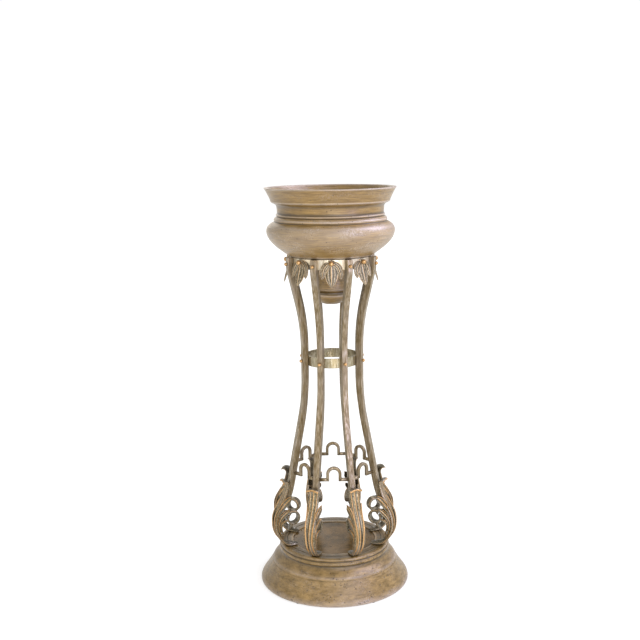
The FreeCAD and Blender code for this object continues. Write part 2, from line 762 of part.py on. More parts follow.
# ---------------------------------------------------------------------------
# Scrolls inside the brackets
# ---------------------------------------------------------------------------
def make_scroll(bracket):
    """Flat strip that leaves the leaf's back, rolls towards the axis and curls up again."""
    body = new_body("scroll_strip")
    centre_x, centre_z = "scroll_place", "scroll_height"

    def spot(radius, right, up, drop="0"):
        return ("%s + (%s) * %s" % (centre_x, radius, right), "%s + (%s) * %s - %s" % (centre_z, radius, up, drop))

    outer, inner = "scroll_radius", "(scroll_radius - strip_thickness)"
    curl_outer, curl_inner = "(scroll_radius - 3)", "(scroll_radius - 3 - strip_thickness)"
    sketch = new_sketch(body, "scroll_side", "XZ_Plane")
    outline(sketch, ("leaf_reach - leaf_thickness - 4", "scroll_height + scroll_radius + 8"), [
        arc(("scroll_place + scroll_radius * 1.05", "scroll_height + scroll_radius + 6"), spot(outer, 0, 1)),
        arc(spot(outer, -1, 0), spot(outer, 0, -1)),
        arc(spot(curl_outer, 0.7071, -0.7071, "3"), spot(curl_outer, 1, 0, "3")),
        line(*spot(curl_inner, 1, 0, "3")),
        arc(spot(curl_inner, 0.7071, -0.7071, "3"), spot(inner, 0, -1)),
        arc(spot(inner, -1, 0), spot(inner, 0, 1)),
        arc(("scroll_place + scroll_radius * 1.05", "scroll_height + scroll_radius - 2"),
            ("leaf_reach - leaf_thickness - 4", "scroll_height + scroll_radius + 1")),
    ])
    padded(body, "scroll_roll", sketch, "strip_width")
    sketch = new_sketch(body, "scroll_tail_side", "XZ_Plane")
    outline(sketch, ("scroll_place - scroll_radius * 0.5", "scroll_height - scroll_radius * 0.8"), [
        arc(("scroll_place - scroll_radius * 0.25", "scroll_height - scroll_radius * 1.2"),
            ("scroll_place + scroll_radius * 0.15", "scroll_height - scroll_radius * 1.55")),
        arc(("scroll_place + scroll_radius * 0.38", "scroll_height - scroll_radius * 1.15"),
            ("scroll_place + scroll_radius * 0.5", "scroll_height - scroll_radius * 0.8")),
    ])
    padded(body, "scroll_tail", sketch, "strip_width * 0.7")
    seated = doc.addObject("Part::Cut", "scroll_pattern")
    seated.Base = body
    seated.Tool = bracket
    return seated


# ---------------------------------------------------------------------------
# Leaves on the collar
# ---------------------------------------------------------------------------
def make_leaf():
    """Three-lobed leaf that hangs from the collar and curls away from it."""
    body = new_body("leaf_ornament_pattern")
    sketch = new_sketch(body, "leaf_front", "YZ_Plane", lift="leaf_seat")
    right = [
        arc(("9", "collar_top - 3"), ("10.5", "collar_top - 12")),
        arc(("leaf_half * 0.72", "collar_top - 19"), ("leaf_half * 0.96", "collar_top - 33")),
        arc(("leaf_half", "collar_top - 41"), ("leaf_half * 0.84", "collar_top - leaf_drop * 0.70")),
        arc(("leaf_half * 0.66", "collar_top - leaf_drop * 0.64"),
            ("leaf_half * 0.55", "collar_top - leaf_drop * 0.55")),
        arc(("leaf_half * 0.50", "collar_top - leaf_drop * 0.77"), ("0", "leaf_tip")),
    ]
    top = ("0", "collar_top")
    tip, left = backwards(top, right)
    mirrored = [(None if middle is None else ("-(%s)" % middle[0], middle[1]), ("-(%s)" % end[0], end[1]))
                for middle, end in left[:-1]] + [(("-(9)", "collar_top - 3"), top)]
    outline(sketch, top, right + mirrored)
    padded(body, "leaf_block", sketch, "leaf_bulge + leaf_plate + 8", symmetric=False)
    seat, plate = "leaf_seat", "leaf_plate"
    far = "leaf_seat + leaf_bulge + leaf_plate + 20"
    sketch = new_sketch(body, "leaf_front_curve", "XZ_Plane")
    outline(sketch, (far, "collar_top + 5"), [
        line("%s + %s" % (seat, plate), "collar_top + 5"),
        line("%s + %s" % (seat, plate), "collar_top - 17"),
        arc(("%s + leaf_bulge * 0.55 + %s" % (seat, plate), "collar_top - leaf_drop * 0.45"),
            ("%s + leaf_bulge * 0.8 + %s * 0.8" % (seat, plate), "collar_top - leaf_drop * 0.72")),
        arc(("%s + leaf_bulge * 0.88 + %s * 0.8" % (seat, plate), "collar_top - leaf_drop * 0.88"),
            ("%s + leaf_bulge * 1.3" % seat, "leaf_tip - 2")),
        line(far, "leaf_tip - 2"),
    ])
    cut_through(body, "leaf_front_carving", sketch)
    sketch = new_sketch(body, "leaf_back_curve", "XZ_Plane")
    outline(sketch, ("%s - 5" % seat, "collar_top - collar_depth * 0.8"), [
        line(seat, "collar_top - collar_depth * 0.8"),
        arc(("%s + leaf_bulge * 0.45" % seat, "collar_top - leaf_drop * 0.5"),
            ("%s + leaf_bulge * 0.76" % seat, "collar_top - leaf_drop * 0.72")),
        arc(("%s + leaf_bulge * 0.82" % seat, "collar_top - leaf_drop * 0.88"),
            ("%s + leaf_bulge * 1.1" % seat, "leaf_tip - 5")),
        line("%s - 5" % seat, "leaf_tip - 5"),
    ])
    cut_through(body, "leaf_back_carving", sketch)
    sketch = new_sketch(body, "leaf_stud_circle", "YZ_Plane")
    circle(sketch, "0", "stud_height", "shank_radius + hole_gap")
    cut_through(body, "leaf_stud_hole", sketch)
    return body


# ---------------------------------------------------------------------------
# Seat and drop cup
# ---------------------------------------------------------------------------
def make_seat():
    """Round plate welded inside the collar; the bowl stands on it and the cup hangs from it."""
    body = new_body("bowl_seat")
    disc(body, "seat_plate", "collar_radius - band_thickness", "seat_top - seat_thickness", "seat_thickness")
    sketch = new_sketch(body, "seat_hole_circle", "XY_Plane")
    circle(sketch, "0", "0", "bolt_radius + hole_gap")
    cut_through(body, "seat_hole", sketch)
    return body


def make_seat_pads():
    """Pads between the seat plate and the bowl's foot ring."""
    body = new_body("seat_pads")
    pad = disc(body, "seat_pad", "seat_pad_radius", "seat_top", "seat_pad_height",
               x="bowl_foot - seat_pad_radius - 2")
    around(body, "seat_pad_ring", pad, "4")
    return body


def make_cup():
    """Turned pendant with a bead, hung under the collar."""
    body = new_body("drop_cup")
    top = "seat_top - seat_thickness"
    web = "(cup_bead_height + 14)"
    turned(body, "cup_turning", ("cup_radius - 2 - cup_wall", top), [
        line("cup_radius - 2", top),
        line("cup_radius - 2", top + " - 6"),
        arc(("cup_radius - 4", "(%s + cup_bead_height) / 2" % top),
            ("cup_radius + 1", "cup_bead_height + 7")),
        line("cup_radius + 1", "cup_bead_height + cup_bead"),
        arc(("cup_radius + cup_bead + 1", "cup_bead_height"),
            ("cup_radius + 1", "cup_bead_height - cup_bead")),
        arc(("cup_radius * 0.78", "cup_foot + 8.2"), ("cup_radius * 0.16", "cup_foot")),
        line("0", "cup_foot"),
        line("0", "cup_foot + cup_wall"),
        line("cup_radius * 0.12", "cup_foot + cup_wall"),
        arc(("cup_radius * 0.70", "cup_foot + cup_wall + 9"), ("cup_radius - cup_wall", "cup_bead_height")),
        line("cup_radius - 4 - cup_wall", web),
        line("bolt_radius + hole_gap", web),
        line("bolt_radius + hole_gap", web + " + 10"),
        line("cup_radius - 5 - cup_wall", web + " + 10"),
    ])
    return body


def make_cup_bolt():
    """Bolt down through the seat plate into the cup's web."""
    body = new_body("cup_bolt")
    disc(body, "bolt_cap", "bolt_radius * 1.7", "seat_top + washer_thickness", "bolt_head")
    disc(body, "bolt_shank", "bolt_radius", "cup_bead_height + 12",
         "seat_top + washer_thickness - cup_bead_height - 12")
    return body


def make_cup_washer():
    body = new_body("cup_washer")
    disc(body, "washer_disc", "washer_radius", "seat_top", "washer_thickness")
    sketch = new_sketch(body, "washer_circle", "XY_Plane")
    circle(sketch, "0", "0", "bolt_radius + hole_gap")
    cut_through(body, "washer_hole", sketch)
    return body


# ---------------------------------------------------------------------------
# Bowl
# ---------------------------------------------------------------------------
def make_bowl():
    """Turned planter: foot ring, belly, two beads, throat and flared rim."""
    body = new_body("bowl")

    def belly(share, rise):
        return ("bowl_foot + (belly_radius - bowl_foot) * %s" % share, "collar_top + belly_rise * %s" % rise)

    def neck(out, share):
        """A place between the belly's shoulder and the rim."""
        return ("throat_radius + %s" % out, "belly_height + (rim_top - belly_height) * %s" % share)

    flare = "(rim_radius - throat_radius)"
    turned(body, "bowl_turning", ("0", "bowl_base + foot_hollow"), [
        line("bowl_foot - foot_ring - 2", "bowl_base + foot_hollow"),
        line("bowl_foot - foot_ring", "bowl_base"),
        line("bowl_foot", "bowl_base"),
        line("bowl_foot + 1", "collar_top + lift_gap"),
        line("collar_radius + 2", "collar_top + lift_gap"),
        arc(belly(0.46, 0.30), belly(0.72, 0.47)),
        arc(belly(0.93, 0.70), ("belly_radius", "belly_height")),
        arc(("belly_radius - 3.2", "belly_height + 11"), neck("8.5", 0.215)),
        line(*neck("8", 0.235)),
        arc(neck("9.4", 0.262), neck("8", 0.30)),
        arc(neck("5", 0.325), neck("1", 0.335)),
        line(*neck("0.6", 0.345)),
        arc(neck("3.4", 0.37), neck("0.4", 0.395)),
        line(*neck("0", 0.41)),
        line(*neck("0", 0.52)),
        arc(neck("1.5", 0.60), neck("7", 0.635)),
        arc(neck("13", 0.645), neck(flare + " * 0.49", 0.675)),
        line(*neck(flare + " * 0.51", 0.705)),
        arc(neck(flare + " * 0.64", 0.83), neck(flare + " * 0.88", 0.94)),
        line("rim_radius", "rim_top - 3"),
        arc(("rim_radius - 0.6", "rim_top - 0.8"), ("rim_radius - 2.5", "rim_top")),
        line("rim_radius - bowl_wall + 2", "rim_top"),
        line("rim_radius - bowl_wall - 1", "rim_top - 3"),
        line(*neck(flare + " * 0.40", 0.84)),
        line(*neck(flare + " * 0.27 - bowl_wall + 1", 0.66)),
        line("throat_radius - bowl_wall", "belly_height + (rim_top - belly_height) * 0.56"),
        line("throat_radius - bowl_wall", "belly_height + (rim_top - belly_height) * 0.30"),
        line("belly_radius - bowl_wall - 3", "belly_height + 12"),
        line("belly_radius - bowl_wall", "belly_height"),
        arc(("belly_radius - bowl_wall - 7", "belly_height - 20"),
            ("bowl_foot + (belly_radius - bowl_foot) * 0.5",
             "collar_top + belly_rise * 0.47 + bowl_wall * 0.4")),
        line("bowl_foot * 0.86", "bowl_base + foot_hollow + bowl_wall"),
        line("0", "bowl_base + foot_hollow + bowl_wall"),
    ])
    return body


# ---------------------------------------------------------------------------
# The whole object
# ---------------------------------------------------------------------------
def build():
    kept = [make_plinth(), make_plinth_disc(), make_floor_pads(), make_foot_screws()]
    leg = make_leg()
    link = make_link()
    leaf = make_leaf()
    doc.recompute()
    bracket = make_bracket(leg)
    doc.recompute()
    scroll = make_scroll(bracket)
    kept += place_around(leg, "leg", "half_step")
    kept += place_around(bracket, "acanthus_bracket", "half_step")
    kept += place_around(scroll, "scroll", "half_step")
    kept += place_around(link, "arch_link")
    kept += place_around(leaf, "leaf_ornament")
    kept.append(make_band("waist_ring", "waist_radius", "(waist_height - waist_depth / 2)", "waist_depth",
                          [("waist_rivet_hole", "waist_height", "0")]))
    kept.append(make_band("collar_ring", "collar_radius", "collar_foot", "collar_depth",
                          [("collar_rivet_hole", "rivet_height", "0"),
                           ("leaf_stud_hole", "stud_height", "half_step")]))
    rivets = make_rivets("waist_rivets", "waist_radius - band_thickness", "waist_face + hole_gap",
                         "waist_height", "ball_radius", "ball_stand")
    turn_about_axis(rivets, "half_step - 90")
    kept.append(rivets)
    rivets = make_rivets("collar_rivets", "collar_radius - band_thickness", "collar_face + hole_gap",
                         "rivet_height", "ball_radius", "ball_stand")
    turn_about_axis(rivets, "half_step - 90")
    kept.append(rivets)
    studs = make_rivets("leaf_studs", "collar_radius - band_thickness", "leaf_seat + leaf_plate",
                        "stud_height", "stud_radius", "stud_stand")
    turn_about_axis(studs, "-90")
    kept.append(studs)
    kept += [make_seat(), make_seat_pads(), make_cup(), make_cup_bolt(), make_cup_washer(), make_bowl()]
    doc.recompute()
    return kept


def check(kept):
    """Stops if any object failed, or a sub-part's shape is empty or not valid."""
    for item in doc.Objects:
        if {"Invalid", "Error"} & set(item.State):
            raise RuntimeError("%s failed: %s" % (item.Label, item.State))
    for item in kept:
        shape = item.Shape
        if shape.isNull() or not shape.isValid() or not shape.Solids:
            raise RuntimeError("%s has no sound shape" % item.Label)


def export(kept):
    os.makedirs("parts", exist_ok=True)
    for item in kept:
        item.Shape.exportStep("parts/%s.step" % item.Label)
    print("%d sub-parts, %d solids" % (len(kept), sum(len(item.Shape.Solids) for item in kept)))


sub_parts = build()
check(sub_parts)
export(sub_parts)
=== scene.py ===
# %% [markdown]
# # A jardiniere on a stand
# A turned bowl sits in the collar of a waisted cage. The cage has eight square bars, each
# held by a cast acanthus bracket on a round moulded plinth. The CAD model gives every
# place and size. Here the turned, cast and carved pieces get the modelling that CAD leaves
# plain, and every surface gets its finish. This cell loads the CAD model as the frame.

# %% Load the frame
import math

import bmesh
import bpy
from mathutils import Matrix, Vector


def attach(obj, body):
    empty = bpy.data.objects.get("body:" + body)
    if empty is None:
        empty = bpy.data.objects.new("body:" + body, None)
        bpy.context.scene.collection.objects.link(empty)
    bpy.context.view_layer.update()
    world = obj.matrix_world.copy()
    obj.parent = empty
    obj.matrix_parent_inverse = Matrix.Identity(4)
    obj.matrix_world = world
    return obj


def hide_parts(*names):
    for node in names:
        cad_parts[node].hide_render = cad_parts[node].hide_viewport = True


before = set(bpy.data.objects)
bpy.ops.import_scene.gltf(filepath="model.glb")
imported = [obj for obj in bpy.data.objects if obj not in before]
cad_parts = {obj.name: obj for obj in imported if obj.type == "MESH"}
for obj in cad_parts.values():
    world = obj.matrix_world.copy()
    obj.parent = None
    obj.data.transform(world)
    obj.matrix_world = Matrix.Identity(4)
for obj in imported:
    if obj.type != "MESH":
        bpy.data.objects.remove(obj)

scene = bpy.context.scene
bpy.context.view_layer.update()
MM = 0.001
COUNT = 8                      # bars, brackets, scrolls, arches and leaves
STEP = 2 * math.pi / COUNT
FRONT = -math.pi / 2           # the front looks along -Y

# %% [markdown]
# ## Camera
# The photograph was taken from above the rim's height, a few metres away, with a long lens.
# A camera that looks slightly down gives the plinth's wide ellipse and the bowl's flat one.
# It stands a little to the left of the front, so the two front bars are not quite mirrored.
# Its place could be typed as one matrix, but a few named turns can be read and adjusted.

# %% Camera
CAMERA_DISTANCE = 2.5921
CAMERA_HEIGHT = 1.2091
CAMERA_PITCH = math.radians(10.26)
CAMERA_SIDE = math.radians(0.5)      # the camera's place, left of the front
CAMERA_AIM = math.radians(0.70)      # it aims left of the axis
CAMERA_ROLL = math.radians(-0.82)
camera_data = bpy.data.cameras.new("camera")
camera_data.lens = 54.34
camera_data.sensor_width = 36
camera_data.clip_end = 60
camera = bpy.data.objects.new("camera", camera_data)
scene.collection.objects.link(camera)
camera.matrix_world = (
    Matrix.Translation((-CAMERA_DISTANCE * math.sin(CAMERA_SIDE),
                        -CAMERA_DISTANCE * math.cos(CAMERA_SIDE), CAMERA_HEIGHT))
    @ Matrix.Rotation(CAMERA_AIM - CAMERA_SIDE, 4, "Z")
    @ Matrix.Rotation(math.pi / 2 - CAMERA_PITCH, 4, "X")
    @ Matrix.Rotation(CAMERA_ROLL, 4, "Z")
)
scene.camera = camera
scene.view_settings.view_transform = "Standard"
print("camera at", [round(value, 3) for value in camera.matrix_world.translation])

# %% [markdown]
# ## Nodes, colours and patterns
# A colour is picked on a screen, so it is written as sRGB hex, and one function turns it to
# the linear values that a shader works with. One small function adds any node. Patterns could
# be images, but noise on Object coordinates has no seam, and its blobs get a real size.

# %% Helpers for materials
RAMP, MIX, MATH = "ShaderNodeValToRGB", "ShaderNodeMix", "ShaderNodeMath"


def colour(hex_code):
    """Linear RGBA of an sRGB hex colour."""
    parts = [int(hex_code[i:i + 2], 16) / 255 for i in (1, 3, 5)]
    return [c / 12.92 if c <= 0.04045 else ((c + 0.055) / 1.055) ** 2.4 for c in parts] + [1.0]


def add(tree, kind, inputs=None, stops=(), **settings):
    """Adds a node. An input is a value, a socket, or a node whose first live output is linked.

    The stops of a colour ramp are (position, hex colour or grey number) pairs."""
    made = tree.nodes.new(kind)
    for name, value in settings.items():
        setattr(made, name, value)
    for socket, value in (inputs or {}).items():
        if isinstance(value, bpy.types.Node):
            value = next(output for output in value.outputs if output.enabled)
        if isinstance(value, bpy.types.NodeSocket):
            tree.links.new(value, made.inputs[socket])
        else:
            made.inputs[socket].default_value = value
    elements = made.color_ramp.elements if stops else []
    while len(elements) < len(stops):
        elements.new(0.5)
    for element, (position, tone) in zip(elements, stops):
        element.position = position
        element.color = colour(tone) if isinstance(tone, str) else (tone, tone, tone, 1)
    return made


def new_material(name):
    """A material with an empty tree; returns it with the tree and its Object coordinates."""
    material = bpy.data.materials.new(name)
    material.use_nodes = True
    tree = material.node_tree
    tree.nodes.clear()
    return material, tree, add(tree, "ShaderNodeTexCoord").outputs["Object"]


def blotches(tree, place, size_mm, detail=3.0, rough=0.5, stretch=(1, 1, 1), seed=0.0):
    """Soft blotches about size_mm across, longer where stretch is above 1; a seed moves them."""
    mapped = add(tree, "ShaderNodeMapping", {
        "Vector": place,
        "Location": (seed, seed * 1.7, seed * 0.6),
        "Scale": [1 / (size_mm * MM * share) for share in stretch],
    })
    return add(tree, "ShaderNodeTexNoise", {"Vector": mapped, "Scale": 1.0, "Detail": detail,
                                            "Roughness": rough})


def painted(tree, ground, layers):
    """Lays paints over a ground. A layer is its share of the surface and its hex colour."""
    for share, paint in layers:
        ground = add(tree, MIX, {0: share, 6: ground, 7: colour(paint)}, data_type="RGBA")
    return ground


def finish(tree, surface, bump=None, depth_mm=0.0, strength=1.0):
    """Ends the tree with one Principled shader, over a bump where one is given."""
    if bump is not None:
        surface["Normal"] = add(tree, "ShaderNodeBump", {"Height": bump, "Distance": depth_mm * MM,
                                                         "Strength": strength})
    shader = add(tree, "ShaderNodeBsdfPrincipled", surface)
    add(tree, "ShaderNodeOutputMaterial", {"Surface": shader})


print("a rubbed ridge's gold in linear values:", [round(value, 3) for value in colour("#D8A868")])

# %% [markdown]
# ## Cast resin with an antiqued finish
# The bowl, the plinth and the cup look like old stone, but are cast resin: a tan paint, then
# a brown glaze wiped off round the piece. The wiping leaves fine level streaks, brown stays in
# every groove, pale scuffs lie on the rounds, and small pits of the casting stay dark. One
# noise could stand for all of that, but layers laid in the painter's order can each be placed
# by what they are: streaks by their length, glaze and scuffs by the piece's wear attribute.
# The real streaks are finer than a pixel, so they are drawn a few millimetres high.

# %% Antiqued resin
WEAR_FLAT = 0.5                # wear is 0 in hollows, 0.5 on flats and 1 on ridges
PIT_CELL_MM = 9                # one pit at most in a cell this wide


def antiqued_resin(name, low, high, pale, glaze_and_shade, streak=14, grain_mm=2.6, pit_reach=0.20,
                   rough=(0.34, 0.50), coat=0.35, ior=1.6, has_wear=True):
    """Paint between two tones, pale scuffs, dark glaze and pits; streak draws the grain out round."""
    material, tree, place = new_material(name)
    rubbed_and_shaded = WEAR_FLAT
    if has_wear:
        rubbed_and_shaded = add(tree, "ShaderNodeAttribute", attribute_name="wear_and_shade").outputs["Fac"]
    streaks = blotches(tree, place, grain_mm, detail=5, rough=0.66, stretch=(streak, streak, 1))
    broad = blotches(tree, place, 55, stretch=(1.6, 1.6, 0.8), seed=3)
    speckle = blotches(tree, place, 3.0, detail=4, rough=0.7, seed=7)
    clouds = blotches(tree, place, 42, detail=2, stretch=(1.4, 1.4, 0.7), seed=9)
    few = blotches(tree, place, 24, seed=11)
    cells = add(tree, "ShaderNodeTexVoronoi", {"Vector": place, "Scale": 1 / (PIT_CELL_MM * MM),
                                               "Randomness": 1.0})
    dusty = add(tree, MATH, {
        0: add(tree, RAMP, {"Fac": speckle}, [(0.46, 0.0), (0.66, 1.0)]),
        1: add(tree, RAMP, {"Fac": clouds}, [(0.42, 0.0), (0.66, 0.55)]),
    }, operation="MULTIPLY")
    scuffed = add(tree, MATH, {
        0: dusty,
        1: add(tree, RAMP, {"Fac": rubbed_and_shaded}, [(0.42, 0.25), (0.62, 1.0)]),
    }, operation="MULTIPLY")
    # brown glaze in the hollows; on the plinth's upper part, where the wear is lowered, it also lays
    # painted shade
    glazed_and_shaded = add(tree, MATH, {
        0: add(tree, RAMP, {"Fac": rubbed_and_shaded}, [(0.06, 0.92), (0.38, 0.0)]),
        1: add(tree, RAMP, {"Fac": streaks}, [(0.2, 1.0), (0.8, 0.75)]),
    }, operation="MULTIPLY")
    pits = add(tree, MATH, {
        0: add(tree, RAMP, {"Fac": cells}, [(0.08, 1.0), (pit_reach, 0.0)]),
        1: add(tree, RAMP, {"Fac": few}, [(0.47, 0.0), (0.56, 1.0)]),
    }, operation="MULTIPLY")
    tone = painted(tree, add(tree, RAMP, {"Fac": streaks}, [(0.34, low), (0.62, high)]), [
        (add(tree, RAMP, {"Fac": broad}, [(0.35, 0.0), (0.75, 0.5)]), low),
        (scuffed, pale),
        (add(tree, RAMP, {"Fac": rubbed_and_shaded}, [(0.56, 0.0), (0.80, 0.32)]), pale),
        (glazed_and_shaded, glaze_and_shade),
        (add(tree, MATH, {0: pits, 1: 0.85}, operation="MULTIPLY"), glaze_and_shade),
    ])
    grain = add(tree, MATH, {0: streaks, 1: 0.4}, operation="MULTIPLY")
    height = add(tree, MATH, {0: grain, 1: pits}, operation="SUBTRACT")
    gloss = add(tree, RAMP, {"Fac": speckle}, [(0.3, rough[0]), (0.75, rough[1])])
    finish(tree, {"Base Color": tone, "Roughness": gloss, "Coat Weight": coat, "Coat Roughness": 0.36,
                  "IOR": ior}, height, depth_mm=0.8)
    return material


tan_resin = antiqued_resin("antiqued_tan_resin", "#70561F", "#A68748", "#DAD2C6", "#382C12")
plinth_resin = antiqued_resin("antiqued_brown_resin", "#6C5624", "#A48852", "#CBC2BC", "#33290F",
                              streak=3, grain_mm=7, pit_reach=0.30, coat=0.2)
brown_panel = antiqued_resin("brown_glazed_panel", "#4C3C1A", "#85693A", "#978768", "#3A2C14",
                             streak=1.5, grain_mm=26, rough=(0.20, 0.30), coat=0.0, ior=1.25,
                             has_wear=False)
print("resins:", tan_resin.name, plinth_resin.name, brown_panel.name)

# %% [markdown]
# ## Bronze patina on painted steel and castings
# The metalwork is painted olive bronze and rubbed back by hand. Ridges and edges show gold,
# hollows keep a near-black olive, and flats are mottled. A pointiness node could find the
# ridges, but it changes with how finely a mesh is divided. So the carved pieces carry a wear
# attribute that tells the material where its ridges and hollows are. Bars and bands have no
# carving, so only the mottling shows there, drawn out along them as a brush leaves it.

# %% Bronze finishes
def bronze_patina(name, dark, middle, light, grey, gold=None, metallic=0.5, gloss=0.34, drawn=1):
    """Mottled patina; with a gold, rubbed ridges turn gold and hollows dark."""
    material, tree, place = new_material(name)
    mottling = blotches(tree, place, 4, detail=5, rough=0.62, stretch=(1, 1, drawn))
    patches = blotches(tree, place, 30, detail=2, stretch=(1, 1, 1.8), seed=5)
    layers = [(add(tree, RAMP, {"Fac": patches}, [(0.45, 0.0), (0.75, 0.4)]), grey)]
    if gold:
        rubbed_and_shaded = add(tree, "ShaderNodeAttribute", attribute_name="wear_and_shade").outputs["Fac"]
        ridges = add(tree, MATH, {
            0: add(tree, RAMP, {"Fac": rubbed_and_shaded}, [(0.56, 0.0), (0.78, 0.9)]),
            1: add(tree, RAMP, {"Fac": mottling}, [(0.25, 0.55), (0.6, 1.0)]),
        }, operation="MULTIPLY")
        # dark patina in the hollows; the same layer lays the painted shade on one flank of each bracket
        # flute
        hollows_and_shade = add(tree, RAMP, {"Fac": rubbed_and_shaded}, [(0.12, 0.92), (0.46, 0.0)])
        layers += [(ridges, gold), (hollows_and_shade, dark)]
    paint = add(tree, RAMP, {"Fac": mottling}, [(0.28, dark), (0.46, middle), (0.72, light)])
    rough = add(tree, RAMP, {"Fac": mottling}, [(0.3, gloss + 0.08), (0.7, gloss - 0.06)])
    finish(tree, {"Base Color": painted(tree, paint, layers), "Roughness": rough, "Metallic": metallic},
           mottling, depth_mm=0.4, strength=0.4)
    return material


bar_bronze = bronze_patina("olive_bronze_bars", "#5C4A32", "#80704F", "#B4A792", "#9C948A",
                           metallic=0.55, gloss=0.36, drawn=7)
leaf_bronze = bronze_patina("rubbed_bronze_castings", "#2A2516", "#766C50", "#B2A890", "#B0ABA2",
                            gold="#D8A868")
ornament_bronze = bronze_patina("silvered_bronze_leaves", "#241E12", "#857A60", "#C4BDAA", "#B6B0A2",
                                gold="#E9C593")
band_bronze = bronze_patina("olive_bronze_bands", "#6C6146", "#958A6C", "#C4BDA8", "#ADA89C",
                            metallic=0.85, gloss=0.30, drawn=5)
# painted reflection: the collar is the same bronze as the waist band, made paler so that its front shows a
# bright reflection
collar_bronze_painted_reflection = bronze_patina("bronze_collar_painted_reflection", "#A0957C", "#D2C8B0", "#F2ECDD", "#E4DECE",
                              metallic=0.6, gloss=0.32, drawn=5)
seat_bronze = bronze_patina("dark_bronze_plate", "#2C261A", "#42392A", "#544A38", "#4B473E",
                            metallic=0.45, gloss=0.40)
print("bronzes for bars, castings, leaves, bands, collar and seat plate")

# %% [markdown]
# ## Small metal and rubber
# Ball heads are copper-gold, fixings are zinc-plated steel, and the pads are moulded rubber.
# They are only a few pixels wide, so plain colours might do from afar. One pattern each, for
# tarnish, turning lines or grain, keeps them from looking flat close by.

# %% Copper, steel and rubber
def small_finish(name, low, high, grain_mm, rough, metallic=0.0, detail=2, stretch=(1, 1, 1),
                 depth_mm=None):
    """A finish between two tones; rough is one number, or two that follow the tones."""
    material, tree, place = new_material(name)
    grain = blotches(tree, place, grain_mm, detail=detail, stretch=stretch)
    tone = add(tree, RAMP, {"Fac": grain}, [(0.3, low), (0.7, high)])
    if isinstance(rough, tuple):
        rough = add(tree, RAMP, {"Fac": grain}, [(0.3, rough[0]), (0.7, rough[1])])
    surface = {"Base Color": tone, "Roughness": rough, "Metallic": metallic}
    if depth_mm:
        finish(tree, surface, grain, depth_mm)
    else:
        finish(tree, surface)
    return material


copper = small_finish("copper_gold_balls", "#94703F", "#E3BC86", 4, (0.42, 0.26), metallic=0.8, detail=3)
steel = small_finish("zinc_plated_steel", "#83827E", "#A9A8A3", 0.8, 0.38, metallic=1.0,
                     stretch=(1, 1, 0.4))
rubber = small_finish("moulded_rubber", "#161514", "#24221F", 0.9, 0.8, depth_mm=0.1)
print("small finishes:", copper.name, steel.name, rubber.name)

# %% [markdown]
# ## Finishes of the CAD nodes that stay
# Bars, bands, rivets, pads, panel and fixings have their true shape in CAD, so modelling them
# again would add nothing. Each only takes its finish: the material goes into the slots of the
# node's own object.

# %% Dress the CAD nodes
DRESS = [
    (("leg_",), bar_bronze),
    (("waist_ring",), band_bronze),
    (("collar_ring",), collar_bronze_painted_reflection),
    (("waist_rivets", "collar_rivets", "leaf_studs"), copper),
    (("foot_screws", "cup_bolt", "cup_washer"), steel),
    (("floor_pads", "seat_pads"), rubber),
    (("bowl_seat",), seat_bronze),
    (("plinth_disc",), brown_panel),
]
dressed = 0
for prefixes, material in DRESS:
    for name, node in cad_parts.items():
        if name.startswith(prefixes):
            dressed += 1
            if not node.material_slots:
                node.data.materials.append(material)
            for slot in node.material_slots:
                slot.material = material
print("dressed", dressed, "CAD nodes")

# %% [markdown]
# ## How the modelled pieces are kept
# A bmesh becomes an object at the origin, smooth shaded, with one level of subdivision where
# it helps. Each point carries a wear value, written as the piece is modelled: a cloth rubs the
# ridges bare, near 1, and the glaze stays in the hollows, near 0. In two places the value is
# lowered further as painted shade: the plinth from the neck up, and one flank of each bracket
# flute. What stands eight times round the axis is modelled once, facing +X, and then copied.

# %% Keep a piece
def new_form():
    """An empty bmesh and its wear layer."""
    bm = bmesh.new()
    return bm, bm.verts.layers.float.new("wear_and_shade")


def keep(bm, name, material, smooth_level=1):
    """Turns a bmesh into a mesh object with its finish."""
    bmesh.ops.remove_doubles(bm, verts=bm.verts, dist=1e-6)
    bmesh.ops.recalc_face_normals(bm, faces=bm.faces)
    mesh = bpy.data.meshes.new(name)
    bm.to_mesh(mesh)
    bm.free()
    mesh.shade_smooth()
    mesh.materials.append(material)
    piece = bpy.data.objects.new(name, mesh)
    scene.collection.objects.link(piece)
    if smooth_level:
        subdivide(piece, smooth_level)
    return piece


def subdivide(piece, level):
    modifier = piece.modifiers.new("subdivision", "SUBSURF")
    modifier.levels = modifier.render_levels = level


def turned_copies(master, prefix, node_prefix, first_angle, body="stand"):
    """Copies a piece round the axis in place of its CAD nodes, and removes the master."""
    for index in range(COUNT):
        mesh = master.data.copy()
        mesh.transform(Matrix.Rotation(index * STEP + FRONT + first_angle, 4, "Z"))
        copy = bpy.data.objects.new("%s_%d" % (prefix, index + 1), mesh)
        scene.collection.objects.link(copy)
        for modifier in master.modifiers:
            subdivide(copy, modifier.levels)
        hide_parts("%s_%d" % (node_prefix, index + 1))
        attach(copy, body)
    print(COUNT, prefix, "copies with", len(master.data.polygons), "faces each")
    bpy.data.objects.remove(master)


print("pieces are kept in", scene.collection.name)
# %% [markdown]
# ## Turned pieces
# Plinth, cup and bowl were turned as patterns before they were cast, so each is a profile
# spun round the axis. They could keep their CAD solids, but those carry no wear, and the
# glaze would then lie evenly on rounds and grooves. Points that lie close together hold a
# crisp corner once the surface is subdivided, and points far apart leave a soft round.

# %% Spin a profile
WEAR_REACH = 3.5           # millimetres along the profile within which a hollow or ridge counts
WEAR_PER_MM = 0.42         # wear for each millimetre that a point stands proud


